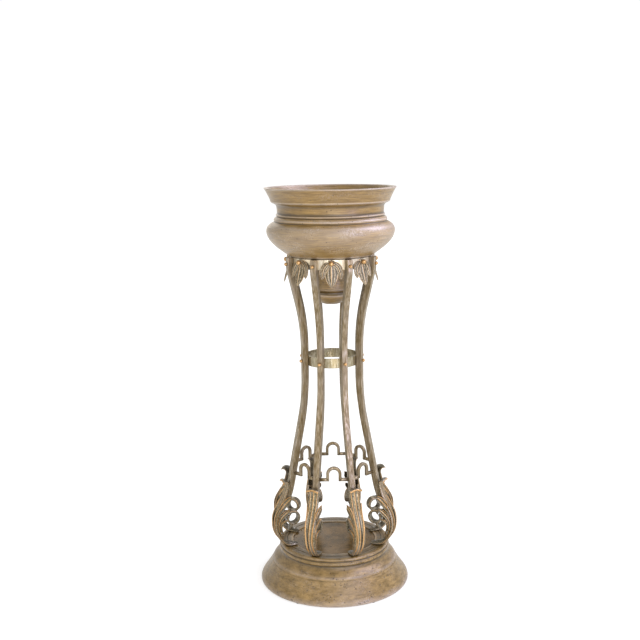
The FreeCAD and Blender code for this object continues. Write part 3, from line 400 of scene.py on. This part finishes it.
def walk(points, index, direction, reach):
    """The place a given way along a profile from one of its points."""
    here = Vector(points[index])
    while reach > 0 and 0 <= index + direction < len(points):
        there = Vector(points[index + direction])
        run = (there - here).length
        if run >= reach:
            return here.lerp(there, reach / run)
        reach -= run
        here, index = there, index + direction
    return here


def profile_wear(points, index):
    """How proud a point of the profile is of the line between its two sides."""
    back, ahead = walk(points, index, -1, WEAR_REACH), walk(points, index, 1, WEAR_REACH)
    along = ahead - back
    if along.length < 1e-6:
        return WEAR_FLAT
    out = Vector((along.y, -along.x)).normalized()
    proud = (Vector(points[index]) - (back + ahead) / 2).dot(out)
    return min(1.0, max(0.0, WEAR_FLAT + WEAR_PER_MM * proud))


def spun(name, profile, material, steps, glazed_and_shaded=None, glaze_and_shade=0.0):
    """Spins a closed or axis-to-axis profile of (radius, height) in millimetres.

    Above a given height a share is taken off the wear, which lays painted shade there in the dark glaze
    colour."""
    bm, layer = new_form()
    closed = profile[0] == profile[-1]
    points = profile[:-1] if closed else profile
    verts = [bm.verts.new((r * MM, 0, z * MM)) for r, z in points]
    for index, vert in enumerate(verts):
        vert[layer] = profile_wear(points, index)
        # painted shade: above the given height the wear is lowered, so more of the dark glaze colour lies
        # there
        if glazed_and_shaded and points[index][1] > glazed_and_shaded:
            vert[layer] = max(0.0, vert[layer] - glaze_and_shade)
    edges = [bm.edges.new(pair) for pair in zip(verts, verts[1:])]
    if closed:
        edges.append(bm.edges.new((verts[-1], verts[0])))
    bmesh.ops.spin(bm, geom=verts + edges, cent=(0, 0, 0), axis=(0, 0, 1), angle=2 * math.pi,
                   steps=steps, use_merge=True)
    return keep(bm, name, material)


print("wear at a corner that stands out:", round(profile_wear([(0, 0), (9, 0), (9, 9)], 1), 2))


# %% [markdown]
# The plinth is a bell, a groove, a round shoulder, a neck with two beads, and a flat top with
# a sunk panel. It is open underneath and stands on pads. From the neck up a share of the wear
# is taken off, so the dark glaze colour lays painted shade on the neck and the deck, which sit
# under the bowl and the brackets.

# %% Plinth
plinth_profile = [
    (188.5, 1.6), (189, 1.5), (206, 1.5), (208, 2.2), (208.5, 4), (208.2, 7), (206.6, 11.5),
    (203.5, 16.5), (198.5, 22.8), (192.4, 31), (186.4, 39.8), (181, 48.6), (177.2, 55.5), (176.1, 57.8),
    (175.4, 58.6), (174.5, 59.4), (174.4, 60.6), (173.9, 62.4), (172.2, 66), (168.6, 70), (163.8, 74.2),
    (158.6, 78.1), (154, 82.4), (151.6, 86.4), (151, 89), (151, 91.2), (151.6, 92), (153.6, 93.6),
    (155, 96.4), (154.9, 99), (153.5, 101.6), (151.5, 103.0), (151, 103.8), (151.4, 104.6),
    (153, 106.2), (153.6, 108.6), (152.8, 111), (150.6, 112.6), (148.5, 113), (140, 113), (134.4, 113),
    (133.6, 112.7), (133, 111.9), (132, 111.9), (131.4, 112.7), (130.6, 113), (124, 113), (116.2, 113),
    (115.2, 112.7), (115, 111.8), (115, 108.4), (114.6, 108), (60, 108), (0, 108),
]
plinth_inside = [
    (0, 99), (80, 99), (142, 99), (143, 98), (143, 86), (150, 77), (164, 61), (165.6, 56), (170, 48),
    (187, 23), (188.5, 18), (188.5, 1.6),
]
# painted shade: from 90 mm up the wear is lowered by 0.40, so the neck and deck take the dark glaze colour
plinth = spun("turned_plinth", plinth_profile + plinth_inside, plinth_resin, steps=120, glazed_and_shaded=90,
              glaze_and_shade=0.40)
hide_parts("plinth_base")
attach(plinth, "stand")
print("plinth faces", len(plinth.data.polygons))

# %% [markdown]
# The cup hangs under the seat plate by one bolt: a straight neck, a fat bead and a round
# bottom. It is small in the picture, so it has fewer steps round.

# %% Drop cup
cup_profile = [
    (38, 893), (38.4, 892.9), (42.6, 892.9), (43, 892.4), (43, 887), (42.2, 870), (42, 852),
    (43.4, 836), (45.4, 828), (46.2, 825.6), (48, 824.6), (50.6, 822.6), (52, 819.4), (51.2, 816),
    (48.6, 813.8), (46.4, 813), (45.4, 811.6), (43.8, 806), (40, 799), (33, 792), (24, 787),
    (12, 784.4), (0, 784), (0, 789), (14, 790), (28, 797), (37, 808), (40, 819), (36, 833), (20, 833),
    (4.1, 833), (4.1, 843), (20, 843), (35, 843), (37.6, 880), (38, 892),
]
cup = spun("turned_cup", cup_profile, tan_resin, steps=72)
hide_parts("drop_cup")
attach(cup, "stand")
print("cup faces", len(cup.data.polygons))

# %% [markdown]
# The bowl has a foot ring, a heavy belly, two beads in the throat and a flared rim with a
# step under it. It lifts straight out of the collar, so it rides on its own body.

# %% Bowl
bowl_outside = [
    (0, 910), (60, 910), (85.4, 910), (86.6, 909.2), (88, 901.6), (88.6, 901), (99.4, 901),
    (100, 901.6), (100.8, 917.4), (101.6, 918.4), (112, 918.5), (114, 919.1), (124, 926.4),
    (138, 936.4), (150, 946.2), (160, 956), (167.6, 966.4), (171.8, 976.6), (173, 985.6), (171.8, 993),
    (168.4, 999.4), (162.4, 1004.4), (155, 1008.4), (151.8, 1010), (151.2, 1011.2), (152.2, 1012.8),
    (152.7, 1015.2), (151.9, 1017.8), (150.4, 1019.4), (149.2, 1020.4), (147.2, 1022.4),
    (144.6, 1023.2), (143.8, 1023.9), (143.8, 1025), (145.2, 1026), (146.3, 1027.6), (145.2, 1029.6),
    (143.5, 1030.6), (143, 1031.6), (143, 1040), (143.4, 1047), (144.6, 1052.6), (147.6, 1056.4),
    (150.8, 1058.2), (156, 1060), (159.2, 1061.8), (160, 1063.4), (160.2, 1066.6), (161.6, 1070),
    (164.8, 1077), (169, 1085.6), (172.8, 1093), (174.9, 1096), (176.6, 1097), (177, 1098.2),
    (176.4, 1099.6), (175, 1100),
]
bowl_inside = [
    (169.6, 1100), (168.2, 1099.4), (166.6, 1096.4), (156.6, 1081.6), (147, 1067), (142.8, 1060.6),
    (136.6, 1052.6), (134.2, 1048.4), (134, 1046), (134, 1022), (134.6, 1019.2), (146, 1009.4),
    (157.6, 1000.4), (161.6, 996.4), (164, 990), (163.8, 984), (157, 965.4), (147, 957.4),
    (136.6, 952.4), (110, 934), (88, 920), (85, 919.1), (60, 919), (0, 919),
]
bowl = spun("turned_bowl", bowl_outside + bowl_inside, tan_resin, steps=120)
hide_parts("bowl")
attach(bowl, "bowl")

# %% [markdown]
# ## Lofted castings
# Carved work could be sculpted, but a sculpt has no sizes that can be changed later. Rings of
# points do: the first ring is a circle whose points are moved to the shape of the section,
# and each next ring is extruded from it and moved in turn.

# %% Rings to a closed form
def loft(bm, layer, rings):
    """Extrudes a ring from section to section and fills both ends.

    A section is a list of (place in millimetres, wear) pairs."""
    ring = bmesh.ops.create_circle(bm, segments=len(rings[0]), radius=1)["verts"]
    edges = list({edge for vert in ring for edge in vert.link_edges})
    first_edges = list(edges)
    shape_ring(ring, layer, rings[0])
    for section in rings[1:]:
        made = bmesh.ops.extrude_edge_only(bm, edges=edges)["geom"]
        fresh = {item for item in made if isinstance(item, bmesh.types.BMVert)}
        ring = [next(e.other_vert(v) for e in v.link_edges if e.other_vert(v) in fresh) for v in ring]
        edges = [item for item in made if isinstance(item, bmesh.types.BMEdge)
                 and item.verts[0] in fresh and item.verts[1] in fresh]
        shape_ring(ring, layer, section)
    bmesh.ops.edgeloop_fill(bm, edges=first_edges)
    bmesh.ops.edgeloop_fill(bm, edges=edges)


def shape_ring(ring, layer, section):
    """Moves the points of a ring to the places of a section."""
    for vert, (place, wear_and_shade_value) in zip(ring, section):
        vert.co = place * MM
        vert[layer] = wear_and_shade_value


def between(points, share):
    """A value on a smooth run through a list of numbers or tuples."""
    spot = min(max(share, 0.0), 1.0) * (len(points) - 1)
    low = min(int(spot), len(points) - 2)
    t = spot - low
    p = [points[min(max(low + k, 0), len(points) - 1)] for k in (-1, 0, 1, 2)]
    if isinstance(p[0], (int, float)):
        return between_four(p, t)
    return [between_four([q[i] for q in p], t) for i in range(len(p[0]))]


def between_four(p, t):
    """The curve of Catmull and Rom between the middle two of four numbers."""
    return 0.5 * (2 * p[1] + (p[2] - p[0]) * t + (2 * p[0] - 5 * p[1] + 4 * p[2] - p[3]) * t * t
                  + (3 * p[1] - p[0] - 3 * p[2] + p[3]) * t ** 3)


def mirrored(half):
    """A run of (side, depth, wear) points, then its mirror image backwards."""
    return half + [(-side, share, wear_and_shade_value) for side, share, wear_and_shade_value in reversed(half)]


print("halfway through 0, 1, 3 is", between([0, 1, 3], 0.5))

# %% [markdown]
# ## Acanthus brackets
# Each bracket is one casting: a fluted blade that rises from a flat foot, swells out, draws in
# to a neck and rolls outwards at its tip, with three leaflets a side that peel off it, sweep
# back and end in points. A flat leaf bent by a modifier would not thicken at the foot, so the
# blade is lofted along its outer line. Across it, each flute is half a sine wave, so that
# round channels meet in the sharp crests that rubbing turns gold.

# %% Bracket's blade
# outer line: radius, height, half width, wall, flute depth, in millimetres
BLADE = [
    (111.0, 113.0, 8.4, 4.5, 0.0), (118.0, 113.0, 10.6, 6.5, 0.0), (127.0, 113.0, 11.6, 9.5, 0.1),
    (136.0, 113.0, 12.0, 12.5, 0.4), (149.0, 116.8, 12.6, 12.5, 1.1), (160.2, 127.0, 13.4, 12.0, 2.0),
    (168.4, 138.0, 14.2, 12.0, 2.6), (174.6, 149.0, 15.0, 12.0, 2.9), (179.8, 164.0, 15.8, 12.0, 3.0),
    (181.4, 179.0, 16.0, 12.0, 3.0), (180.6, 192.0, 16.0, 12.0, 3.0), (177.6, 205.0, 15.8, 12.0, 3.0),
    (173.4, 217.0, 15.6, 12.0, 3.0), (168.0, 229.0, 15.2, 12.0, 2.9), (162.2, 240.5, 14.8, 12.0, 2.8),
    (156.4, 252.0, 14.4, 12.0, 2.6), (151.0, 265.0, 14.4, 11.5, 2.6), (147.0, 278.0, 14.4, 11.0, 2.4),
    (144.2, 288.0, 15.0, 9.6, 2.3), (143.4, 295.0, 16.0, 7.0, 2.1), (144.2, 300.0, 17.0, 4.6, 1.8),
    (146.6, 303.4, 17.8, 3.4, 1.4), (149.8, 305.2, 18.4, 2.8, 1.0), (152.8, 305.4, 18.2, 2.4, 0.6),
    (154.8, 304.4, 17.0, 2.0, 0.2),
]
BLADE_RINGS = 60
FLUTES = 4
FLUTE_STEPS = 6
BLADE_CURVE = 1.45         # how much of a circle the front bends through, in radians each way
CORNER_DROP = 3.4          # how far the front's corners fall back, in millimetres
TIP_DROOP = 8.0            # the rolled tip hangs lower at its two corners
TIP_SHARE = 0.80           # where along the blade the tip starts to droop
LIP_SHARE = 0.93           # from here to its end the tip's lip is rubbed bare
LIP_WEAR = 0.9
# the plain sides and back: place across, share of the wall, wear
BLADE_BACK = mirrored([(0.97, 0.46, 0.60), (0.80, 0.62, 0.25), (0.62, 0.88, 0.25), (0.34, 1.0, 0.25)])


def blade_ring(row, along, droop):
    """Section of the blade: fluted front, rounded sides and a plain back."""
    radius, height, half, wall, flute = row
    out = Vector((along[1], 0, -along[0])).normalized()
    middle = Vector((radius, 0, height))
    steps = FLUTES * FLUTE_STEPS
    section = []
    for index in range(steps + 1):
        u = 2 * index / steps - 1
        side = half * math.sin(BLADE_CURVE * u) / math.sin(BLADE_CURVE)
        channel = abs(math.sin(math.pi * FLUTES * (u + 1) / 2))
        depth = flute * channel + CORNER_DROP * abs(u) ** 2.6 * min(1, wall / 8)
        crest = 0.36 * (1 - channel) ** 3
        # painted shade: one flank of each channel is darkened, as if the light came from one side
        painted_shade = 0.26 * channel ** 2 if index % FLUTE_STEPS in (1, 2) else 0.0    # on one side only
        wear_and_shade_value = WEAR_FLAT + (crest - painted_shade) * min(1, flute / 2)
        section.append((middle + Vector((0, side, -droop * u * u)) - out * depth, wear_and_shade_value))
    for side, share, wear_and_shade_value in BLADE_BACK:
        depth = max(wall * share, min(wall, 3.8) * abs(side))
        section.append((middle + Vector((0, side * half, -droop * side * side)) - out * depth, wear_and_shade_value))
    return section


def blade_rings():
    rings = []
    for index in range(BLADE_RINGS):
        share = index / (BLADE_RINGS - 1)
        row, later, earlier = (between(BLADE, share + d) for d in (0, 0.004, -0.004))
        along = (later[0] - earlier[0], later[1] - earlier[1])
        droop = TIP_DROOP * max(0.0, (share - TIP_SHARE) / (1 - TIP_SHARE))
        lip = max(0.0, (share - LIP_SHARE) / (1 - LIP_SHARE))
        section = blade_ring(row, along, droop)
        rings.append([(place, wear_and_shade_value + (LIP_WEAR - wear_and_shade_value) * lip) for place, wear_and_shade_value in section])
    return rings


print("the blade has", BLADE_RINGS, "rings of", len(blade_rings()[0]), "points")

# %% [markdown]
# A leaflet is a tongue between two edges. It starts on the blade's front corner, where it
# stands a little proud, and peels off sideways and back until its tip stands clear. Its upper
# edge is a sharp crest, a second rib runs along its middle, and the channels beside that rib
# hold the dark patina. Each lower leaflet laps over the one above it. The leaflets could be
# cut into the blade's edge, but as lofts of their own they can overlap.

# %% Bracket's leaflets
# upper and lower edge of each leaflet from root to tip: radius, height, distance from the middle
LEAFLETS = [
    ([(162, 131, 8.6), (174, 146, 8.6), (181, 163, 8.4), (183.4, 180, 8.6), (182.2, 199.5, 10.4),
      (177.2, 215.6, 11.4), (169.5, 229, 12.2), (160.5, 243, 13.6), (151.5, 253.5, 16.4),
      (143.6, 259.4, 19.4), (137, 260.4, 21.2)],
     [(158, 135, 11.6), (167, 150, 12.2), (171, 165, 12.2), (172, 180, 12.2), (170, 198, 13.2),
      (164, 211, 14.4), (157, 221, 16.2), (150.5, 229, 18.2), (145, 236, 20.0), (140, 242, 21.4),
      (136.6, 249, 22.0)]),
    ([(157, 134, 10.8), (167, 149, 11.4), (173, 164, 11.8), (175, 177, 12.2), (174, 189, 13.0),
      (170.4, 201, 14.0), (164, 210, 15.2), (156.4, 217.6, 16.8), (148, 222.6, 18.8),
      (140.6, 224, 20.2)],
     [(154.6, 139, 13.2), (161.6, 153, 13.8), (165, 165, 13.8), (165.6, 177, 13.8), (163, 188, 14.6),
      (157.6, 196, 16.0), (151.6, 202, 17.4), (146.4, 207.6, 18.8), (142.6, 213, 19.8),
      (140, 219, 20.6)]),
    ([(156.6, 145, 12.6), (162.6, 157, 13.4), (166.4, 169, 14.0), (167.4, 180, 14.6),
      (164.6, 188, 15.6), (158, 192.6, 17.0), (150.6, 194, 18.2), (146, 193.4, 18.8)],
     [(155.4, 151, 13.8), (159.2, 161, 14.4), (160.6, 170, 14.8), (160, 177.6, 15.4),
      (157, 182.4, 16.4), (152.6, 186, 17.4), (149, 188.6, 18.2), (145.6, 190.6, 18.8)]),
]
LEAFLET_RINGS = 26
LEAFLET_ACROSS = 13


def leaflet_rings(upper, lower, side):
    """Sections of a leaflet from root to tip: v runs from its upper edge to its lower one."""
    rings = []
    for index in range(LEAFLET_RINGS):
        share = index / (LEAFLET_RINGS - 1)
        top, low = Vector(between(upper, share)), Vector(between(lower, share))
        thick = 3.4 - 1.6 * share
        face, back = [], []
        for step in range(LEAFLET_ACROSS):
            v = step / (LEAFLET_ACROSS - 1)
            spot = top.lerp(low, v)
            crest = max(0.0, 1 - v / 0.26) + 0.9 * max(0.0, 1 - abs(v - 0.54) / 0.18)
            hollow = 1.5 * math.sin(math.pi * v) + 0.9 * (abs(math.sin(2 * math.pi * v)) - 0.5)
            wear_and_shade_value = 0.26 + 0.74 * min(1.0, crest) + 0.3 * max(0.0, (v - 0.88) / 0.12)
            proud = 1.5 * crest - hollow
            inner = spot.z - thick - 0.4 * hollow
            face.append((Vector((spot.x, side * (spot.z + proud), spot.y)), wear_and_shade_value))
            back.append((Vector((spot.x - 0.4 * thick, side * inner, spot.y)), 0.2 if step else 0.7))
        rings.append(face + back[::-1])
    return rings


def bracket_master():
    bm, layer = new_form()
    loft(bm, layer, blade_rings())
    for upper, lower in LEAFLETS:
        for side in (1, -1):
            loft(bm, layer, leaflet_rings(upper, lower, side))
    return keep(bm, "bracket_casting", leaf_bronze)


turned_copies(bracket_master(), "bracket", "acanthus_bracket", STEP / 2)

# %% [markdown]
# ## Scrolls
# A flat strip leaves the leaf's back, rolls towards the axis and nearly closes on itself. A
# short spur grows from its underside. A curve object with a bevel would make the strip, but
# it has no wear attribute, so both are lofts with a rounded section.

# %% Scrolls
SCROLL_MIDDLE = (125.6, 193.6)
SCROLL_RADIUS = 17.6
ROLL_STARTS, ROLL_TIGHTENS, ROLL_STEP = 90, 230, 18      # degrees round the roll
# section of the strip: place across, place through, wear
STRIP_TOP = mirrored([(1.0, 0.3, 0.60), (0.86, 0.5, 0.68), (0.45, 0.46, 0.42)])
STRIP_BACK = mirrored([(1.0, -0.3, 0.45), (0.86, -0.48, 0.40), (0.45, -0.46, 0.30)])
STRIP = (STRIP_TOP[:3] + [(0.0, 0.44, 0.40)] + STRIP_TOP[3:]
         + STRIP_BACK[:2:-1] + [(0.0, -0.44, 0.28)] + STRIP_BACK[2::-1])
# strip from the leaf's back to the roll, and the spur: radius, height, half width, thickness
STRIP_START = [(163.5, 214.6, 9.8, 7.0), (155.0, 213.0, 10.2, 7.0), (146.0, 211.2, 10.4, 7.0),
               (137.0, 210.0, 10.4, 7.2)]
SPUR = [(122.0, 180.0, 8.6, 4.0), (128.0, 176.4, 8.6, 8.0), (132.4, 170.4, 7.6, 8.0),
        (135.6, 163.4, 5.4, 5.6), (137.4, 156.4, 2.2, 1.8)]
SPUR_ALONG = (4.0, -6.0)


def strip_ring(place, along, half, thick):
    """Rounded strip section at a place in the side view; its edges are rubbed."""
    out = Vector((along[1], 0, -along[0])).normalized()
    middle = Vector((place[0], 0, place[1]))
    return [(middle + Vector((0, half * s, 0)) + out * thick * t, wear_and_shade_value) for s, t, wear_and_shade_value in STRIP]


def scroll_master():
    bm, layer = new_form()
    path = list(STRIP_START)
    for degrees in range(ROLL_STARTS, 400, ROLL_STEP):
        turn = math.radians(degrees)
        shrink = max(0.0, (degrees - ROLL_TIGHTENS) / 170)
        radius = SCROLL_RADIUS * (1 - 0.20 * shrink)
        path.append((SCROLL_MIDDLE[0] + radius * math.cos(turn),
                     SCROLL_MIDDLE[1] + radius * math.sin(turn) - 1.5 * shrink,
                     10.4 - 1.2 * shrink, 7.2 - 0.6 * shrink))
    path.append((path[-1][0] - 0.6, path[-1][1] + 2.4, 7.4, 3.6))     # the strip's thinned end
    rings = []
    for index, (r, z, half, thick) in enumerate(path):
        before, after = path[max(index - 1, 0)], path[min(index + 1, len(path) - 1)]
        rings.append(strip_ring((r, z), (after[0] - before[0], after[1] - before[1]), half, thick))
    loft(bm, layer, rings)
    loft(bm, layer, [strip_ring((r, z), SPUR_ALONG, half, thick) for r, z, half, thick in SPUR])
    return keep(bm, "scroll_casting", leaf_bronze)


turned_copies(scroll_master(), "scroll_roll", "scroll", STEP / 2)

# %% [markdown]
# ## Arch links
# Each link is a square bar bent in one plane: a level stub, a square corner, half a circle and
# the same again. A curve object with a bevel would cut its ends square. So the bar's section
# is lofted along that path with mitred corners, and its two ends are slanted to lie against
# the side faces of the legs.

# %% Arch links
LINK_PLACE, LINK_FOOT, LINK_BAR = 110.5, 319.0, 8.2      # from the axis, height, thickness
LINK_CHAMFER = 1.0
ARCH_HALF, ARCH_SPRING = 20.7 - LINK_BAR / 2, 19.6
ARCH_STEPS = 9                                           # in a quarter of the circle
LEG_HALF = 8.1


def leg_side(place):
    """Half the gap between two legs, at a distance from the axis."""
    return place * math.tan(STEP / 2) - LEG_HALF / math.cos(STEP / 2)


def link_master():
    bm, layer = new_form()
    level = LINK_FOOT + LINK_BAR / 2
    spring = LINK_FOOT + ARCH_SPRING
    half_path = [(-leg_side(LINK_PLACE), level), (-ARCH_HALF - 6, level), (-ARCH_HALF - 1.5, level),
                 (-ARCH_HALF, level), (-ARCH_HALF, level + 1.5), (-ARCH_HALF, level + 7)]
    half_path += [(-ARCH_HALF * math.cos(a), spring + ARCH_HALF * math.sin(a))
                  for a in (math.pi / 2 * k / ARCH_STEPS for k in range(ARCH_STEPS))]
    path = half_path + [(0, spring + ARCH_HALF)] + [(-side, height) for side, height in reversed(half_path)]
    flat, edge = LINK_BAR / 2 - LINK_CHAMFER, LINK_BAR / 2
    section = [(edge, -flat), (edge, flat), (flat, edge), (-flat, edge), (-edge, flat), (-edge, -flat),
               (-flat, -edge), (flat, -edge)]
    rings = []
    for index, (side, height) in enumerate(path):
        before, after = path[max(index - 1, 0)], path[min(index + 1, len(path) - 1)]
        here = Vector((side, height))
        first = (here - Vector(before)).normalized() if index else (Vector(after) - here).normalized()
        second = (Vector(after) - here).normalized() if index < len(path) - 1 else first
        mitre = (first + second).normalized()
        normal = Vector((-mitre.y, mitre.x)) / max(mitre.dot(first), 0.5)
        ring = []
        for across, up in section:
            spot = here + normal * up
            if index in (0, len(path) - 1):
                spot.x = math.copysign(leg_side(LINK_PLACE + across), side)
            ring.append((Vector((LINK_PLACE + across, spot.x, spot.y)), WEAR_FLAT))
        rings.append(ring)
    loft(bm, layer, rings)
    return keep(bm, "link_bar", bar_bronze, smooth_level=0)


turned_copies(link_master(), "arch_bar", "arch_link", 0.0)

# %% [markdown]
# ## Leaves on the collar
# Each leaf is pinned to the collar by a ball stud. It has a broad middle lobe that swings away
# from the collar to a point, and a lobe on each side that curls back. Ribs are raised along
# each lobe. A displacement texture could raise them, but its ribs would not run together
# towards the tip, so each lobe is lofted along a spine, and the lobes overlap so that their
# edges cast small shadows.

# %% Collar leaves
TONGUE_RINGS = 18
TONGUE_ACROSS = 17
LEAF_TOP, LEAF_SEAT = 917.0, 111.1      # upper end, and the collar's face from the axis
# middle lobe's spine: distance from the seat, drop from the top; and its half widths
MIDDLE_SPINE = [(0.2, 1), (0.4, 12), (2.0, 24), (5.6, 37), (9.4, 50), (12.4, 61), (14.6, 70.4)]
MIDDLE_HALVES = [8.6, 9.6, 15.5, 18.0, 15.0, 9.4, 1.0]
# side lobe's spine: distance from the seat, distance sideways, drop; and its half widths
SIDE_SPINE = [(0.3, 2, 9), (1.4, 10, 13), (2.8, 18, 21), (4.2, 22.0, 33), (6.4, 23.6, 43), (9.6, 25.4, 50)]
SIDE_HALVES = [6.0, 9.0, 10.4, 9.0, 6.2, 0.8]


def tongue(bm, layer, spine, halves, thick, across, cup, rib):
    """A leaf lobe along a spine; cup lifts its edges, rib raises its middle and two side ribs."""
    rings = []
    for index in range(TONGUE_RINGS):
        share = index / (TONGUE_RINGS - 1)
        spot, later, earlier = (Vector(between(spine, share + d)) for d in (0, 0.02, -0.02))
        along = (later - earlier).normalized()
        side = (across - along * across.dot(along)).normalized()
        out = along.cross(side).normalized()
        half = max(between(halves, share), 0.4)
        body = thick * (1 - 0.45 * share)
        face, back = [], []
        for step in range(TONGUE_ACROSS):
            u = 2 * step / (TONGUE_ACROSS - 1) - 1
            middle_rib = max(0.0, 1 - abs(u) / 0.20)
            side_rib = max(0.0, 1 - abs(abs(u) - 0.52) / 0.17)
            edge = max(0.0, (abs(u) - 0.80) / 0.20)
            ridge = middle_rib + 0.8 * side_rib + 1.1 * edge
            under = spot + side * half * u + out * (cup * half * u * u)
            raised = rib * min(1.0, half / 6) * (ridge - 0.5) + body * (1 - 0.6 * u * u)
            face.append((under + out * raised, 0.20 + 0.66 * min(1.1, ridge)))
            back.append((under, 0.3))
        rings.append(face + back[::-1])
    loft(bm, layer, rings)


def leaf_master():
    bm, layer = new_form()
    spine = [(LEAF_SEAT + out, 0, LEAF_TOP - drop) for out, drop in MIDDLE_SPINE]
    tongue(bm, layer, spine, MIDDLE_HALVES, 4.2, Vector((0, 1, 0)), cup=-0.16, rib=2.2)
    for side in (1, -1):
        spine = [(LEAF_SEAT + out, side * away, LEAF_TOP - drop) for out, away, drop in SIDE_SPINE]
        tongue(bm, layer, spine, SIDE_HALVES, 3.6, Vector((0.1, 1, 0)), cup=-0.12, rib=2.0)
    return keep(bm, "leaf_casting", ornament_bronze)


turned_copies(leaf_master(), "collar_leaf", "leaf_ornament", 0.0)

# %% [markdown]
# ## Floor, backdrop and light
# The floor is a wide pale disc. Lamps alone leave it grey, so the camera sees it as its own
# white, like the backdrop, and only near the plinth does a share of real shading stay, for
# the soft shadow.

# %% Floor
FLOOR_RADIUS = 14


def pale_floor():
    material, tree, place = new_material("pale_floor")
    light = add(tree, "ShaderNodeLightPath").outputs
    distance = add(tree, "ShaderNodeVectorMath", {0: place}, operation="LENGTH")
    plain = add(tree, RAMP, {"Fac": distance}, [(0.20, 0.55), (0.33, 1.0)])
    seen = add(tree, MATH, {0: light["Is Camera Ray"], 1: light["Is Glossy Ray"]}, operation="MAXIMUM")
    share = add(tree, MATH, {0: seen, 1: plain}, operation="MULTIPLY")
    shaded = add(tree, "ShaderNodeBsdfDiffuse", {"Color": colour("#F4F4F3")})
    white = add(tree, "ShaderNodeEmission", {"Color": colour("#FFFFFF"), "Strength": 1.25})
    both = add(tree, "ShaderNodeMixShader", {0: share, 1: shaded, 2: white})
    add(tree, "ShaderNodeOutputMaterial", {"Surface": both})
    return material


bm = bmesh.new()
bmesh.ops.create_circle(bm, cap_ends=True, segments=64, radius=FLOOR_RADIUS)
floor_mesh = bpy.data.meshes.new("studio_floor")
bm.to_mesh(floor_mesh)
bm.free()
floor_mesh.materials.append(pale_floor())
floor = bpy.data.objects.new("studio_floor", floor_mesh)
scene.collection.objects.link(floor)
print("floor of radius", FLOOR_RADIUS, "m")

# %% [markdown]
# The backdrop is a white world. It lights the piece softly from all sides and shows white to
# the camera. Mirrored in gloss it would wash out the bronze, so it is weaker there.

# %% World
WORLD_LIGHT, WORLD_SEEN, WORLD_GLOSS = 0.42, 0.60, 0.26
world = bpy.data.worlds.new("studio")
scene.world = world
world.use_nodes = True
tree = world.node_tree
tree.nodes.clear()
light = add(tree, "ShaderNodeLightPath").outputs
seen = add(tree, MATH, {0: light["Is Camera Ray"], 1: light["Is Glossy Ray"]}, operation="MAXIMUM")
seen = add(tree, MATH, {0: seen, 1: light["Is Transmission Ray"]}, operation="MAXIMUM")
seen = add(tree, MATH, {0: seen, 1: WORLD_SEEN}, operation="MULTIPLY")
glossy = add(tree, MATH, {0: light["Is Glossy Ray"], 1: WORLD_GLOSS}, operation="MULTIPLY")
strength = add(tree, MATH, {0: WORLD_LIGHT, 1: seen}, operation="ADD")
strength = add(tree, MATH, {0: strength, 1: glossy}, operation="SUBTRACT")
background = add(tree, "ShaderNodeBackground", {"Color": colour("#FFFFFF"), "Strength": strength})
add(tree, "ShaderNodeOutputWorld", {"Surface": background})
print("world strength seen by the camera", round(WORLD_LIGHT + WORLD_SEEN, 2))

# %% [markdown]
# Cool window light comes from the right, in three lamps: a key, a window above and a low
# strip for the bars' right sides. A warm fill keeps the left sides golden, a low front lamp
# lights the brackets' faces, and a rear one lifts the bars at the back. One sun would throw a
# hard shadow of each bar, so all are wide oblong lamps.

# %% Lamps
# name, place, aim, width, height, power in watts, colour
LAMPS = [
    ("key_right", (0.9, -1.9, 1.9), (0, 0, 0.9), 0.9, 1.3, 17, "#F0ECFF"),
    ("window_right", (1.15, 0.15, 2.0), (0, 0, 1.0), 1.1, 1.1, 26, "#E0DCFF"),
    ("strip_right", (1.75, -1.75, 0.75), (0, 0, 0.6), 0.4, 1.2, 12, "#D4D0FF"),
    ("rear", (-0.7, 2.3, 1.5), (0, 0, 0.6), 1.5, 1.5, 9, "#FFF4E6"),
    ("front", (0.35, -2.5, 0.7), (0, 0, 0.7), 1.2, 1.0, 18, "#FFF2E0"),
    ("fill_left", (-2.4, -1.6, 1.2), (0, 0, 0.6), 1.8, 1.8, 9, "#FFE3B8"),
]
for name, place, aim, width, height, power, tint in LAMPS:
    lamp_data = bpy.data.lights.new(name, "AREA")
    lamp_data.shape = "RECTANGLE"
    lamp_data.size = width
    lamp_data.size_y = height
    lamp_data.energy = power
    lamp_data.color = colour(tint)[:3]
    lamp = bpy.data.objects.new(name, lamp_data)
    scene.collection.objects.link(lamp)
    lamp.location = place
    lamp.rotation_euler = (Vector(aim) - Vector(place)).to_track_quat("-Z", "Y").to_euler()
print(len(LAMPS), "lamps of", sum(row[5] for row in LAMPS), "watts in all")

# %% Update the scene
bpy.context.view_layer.update()
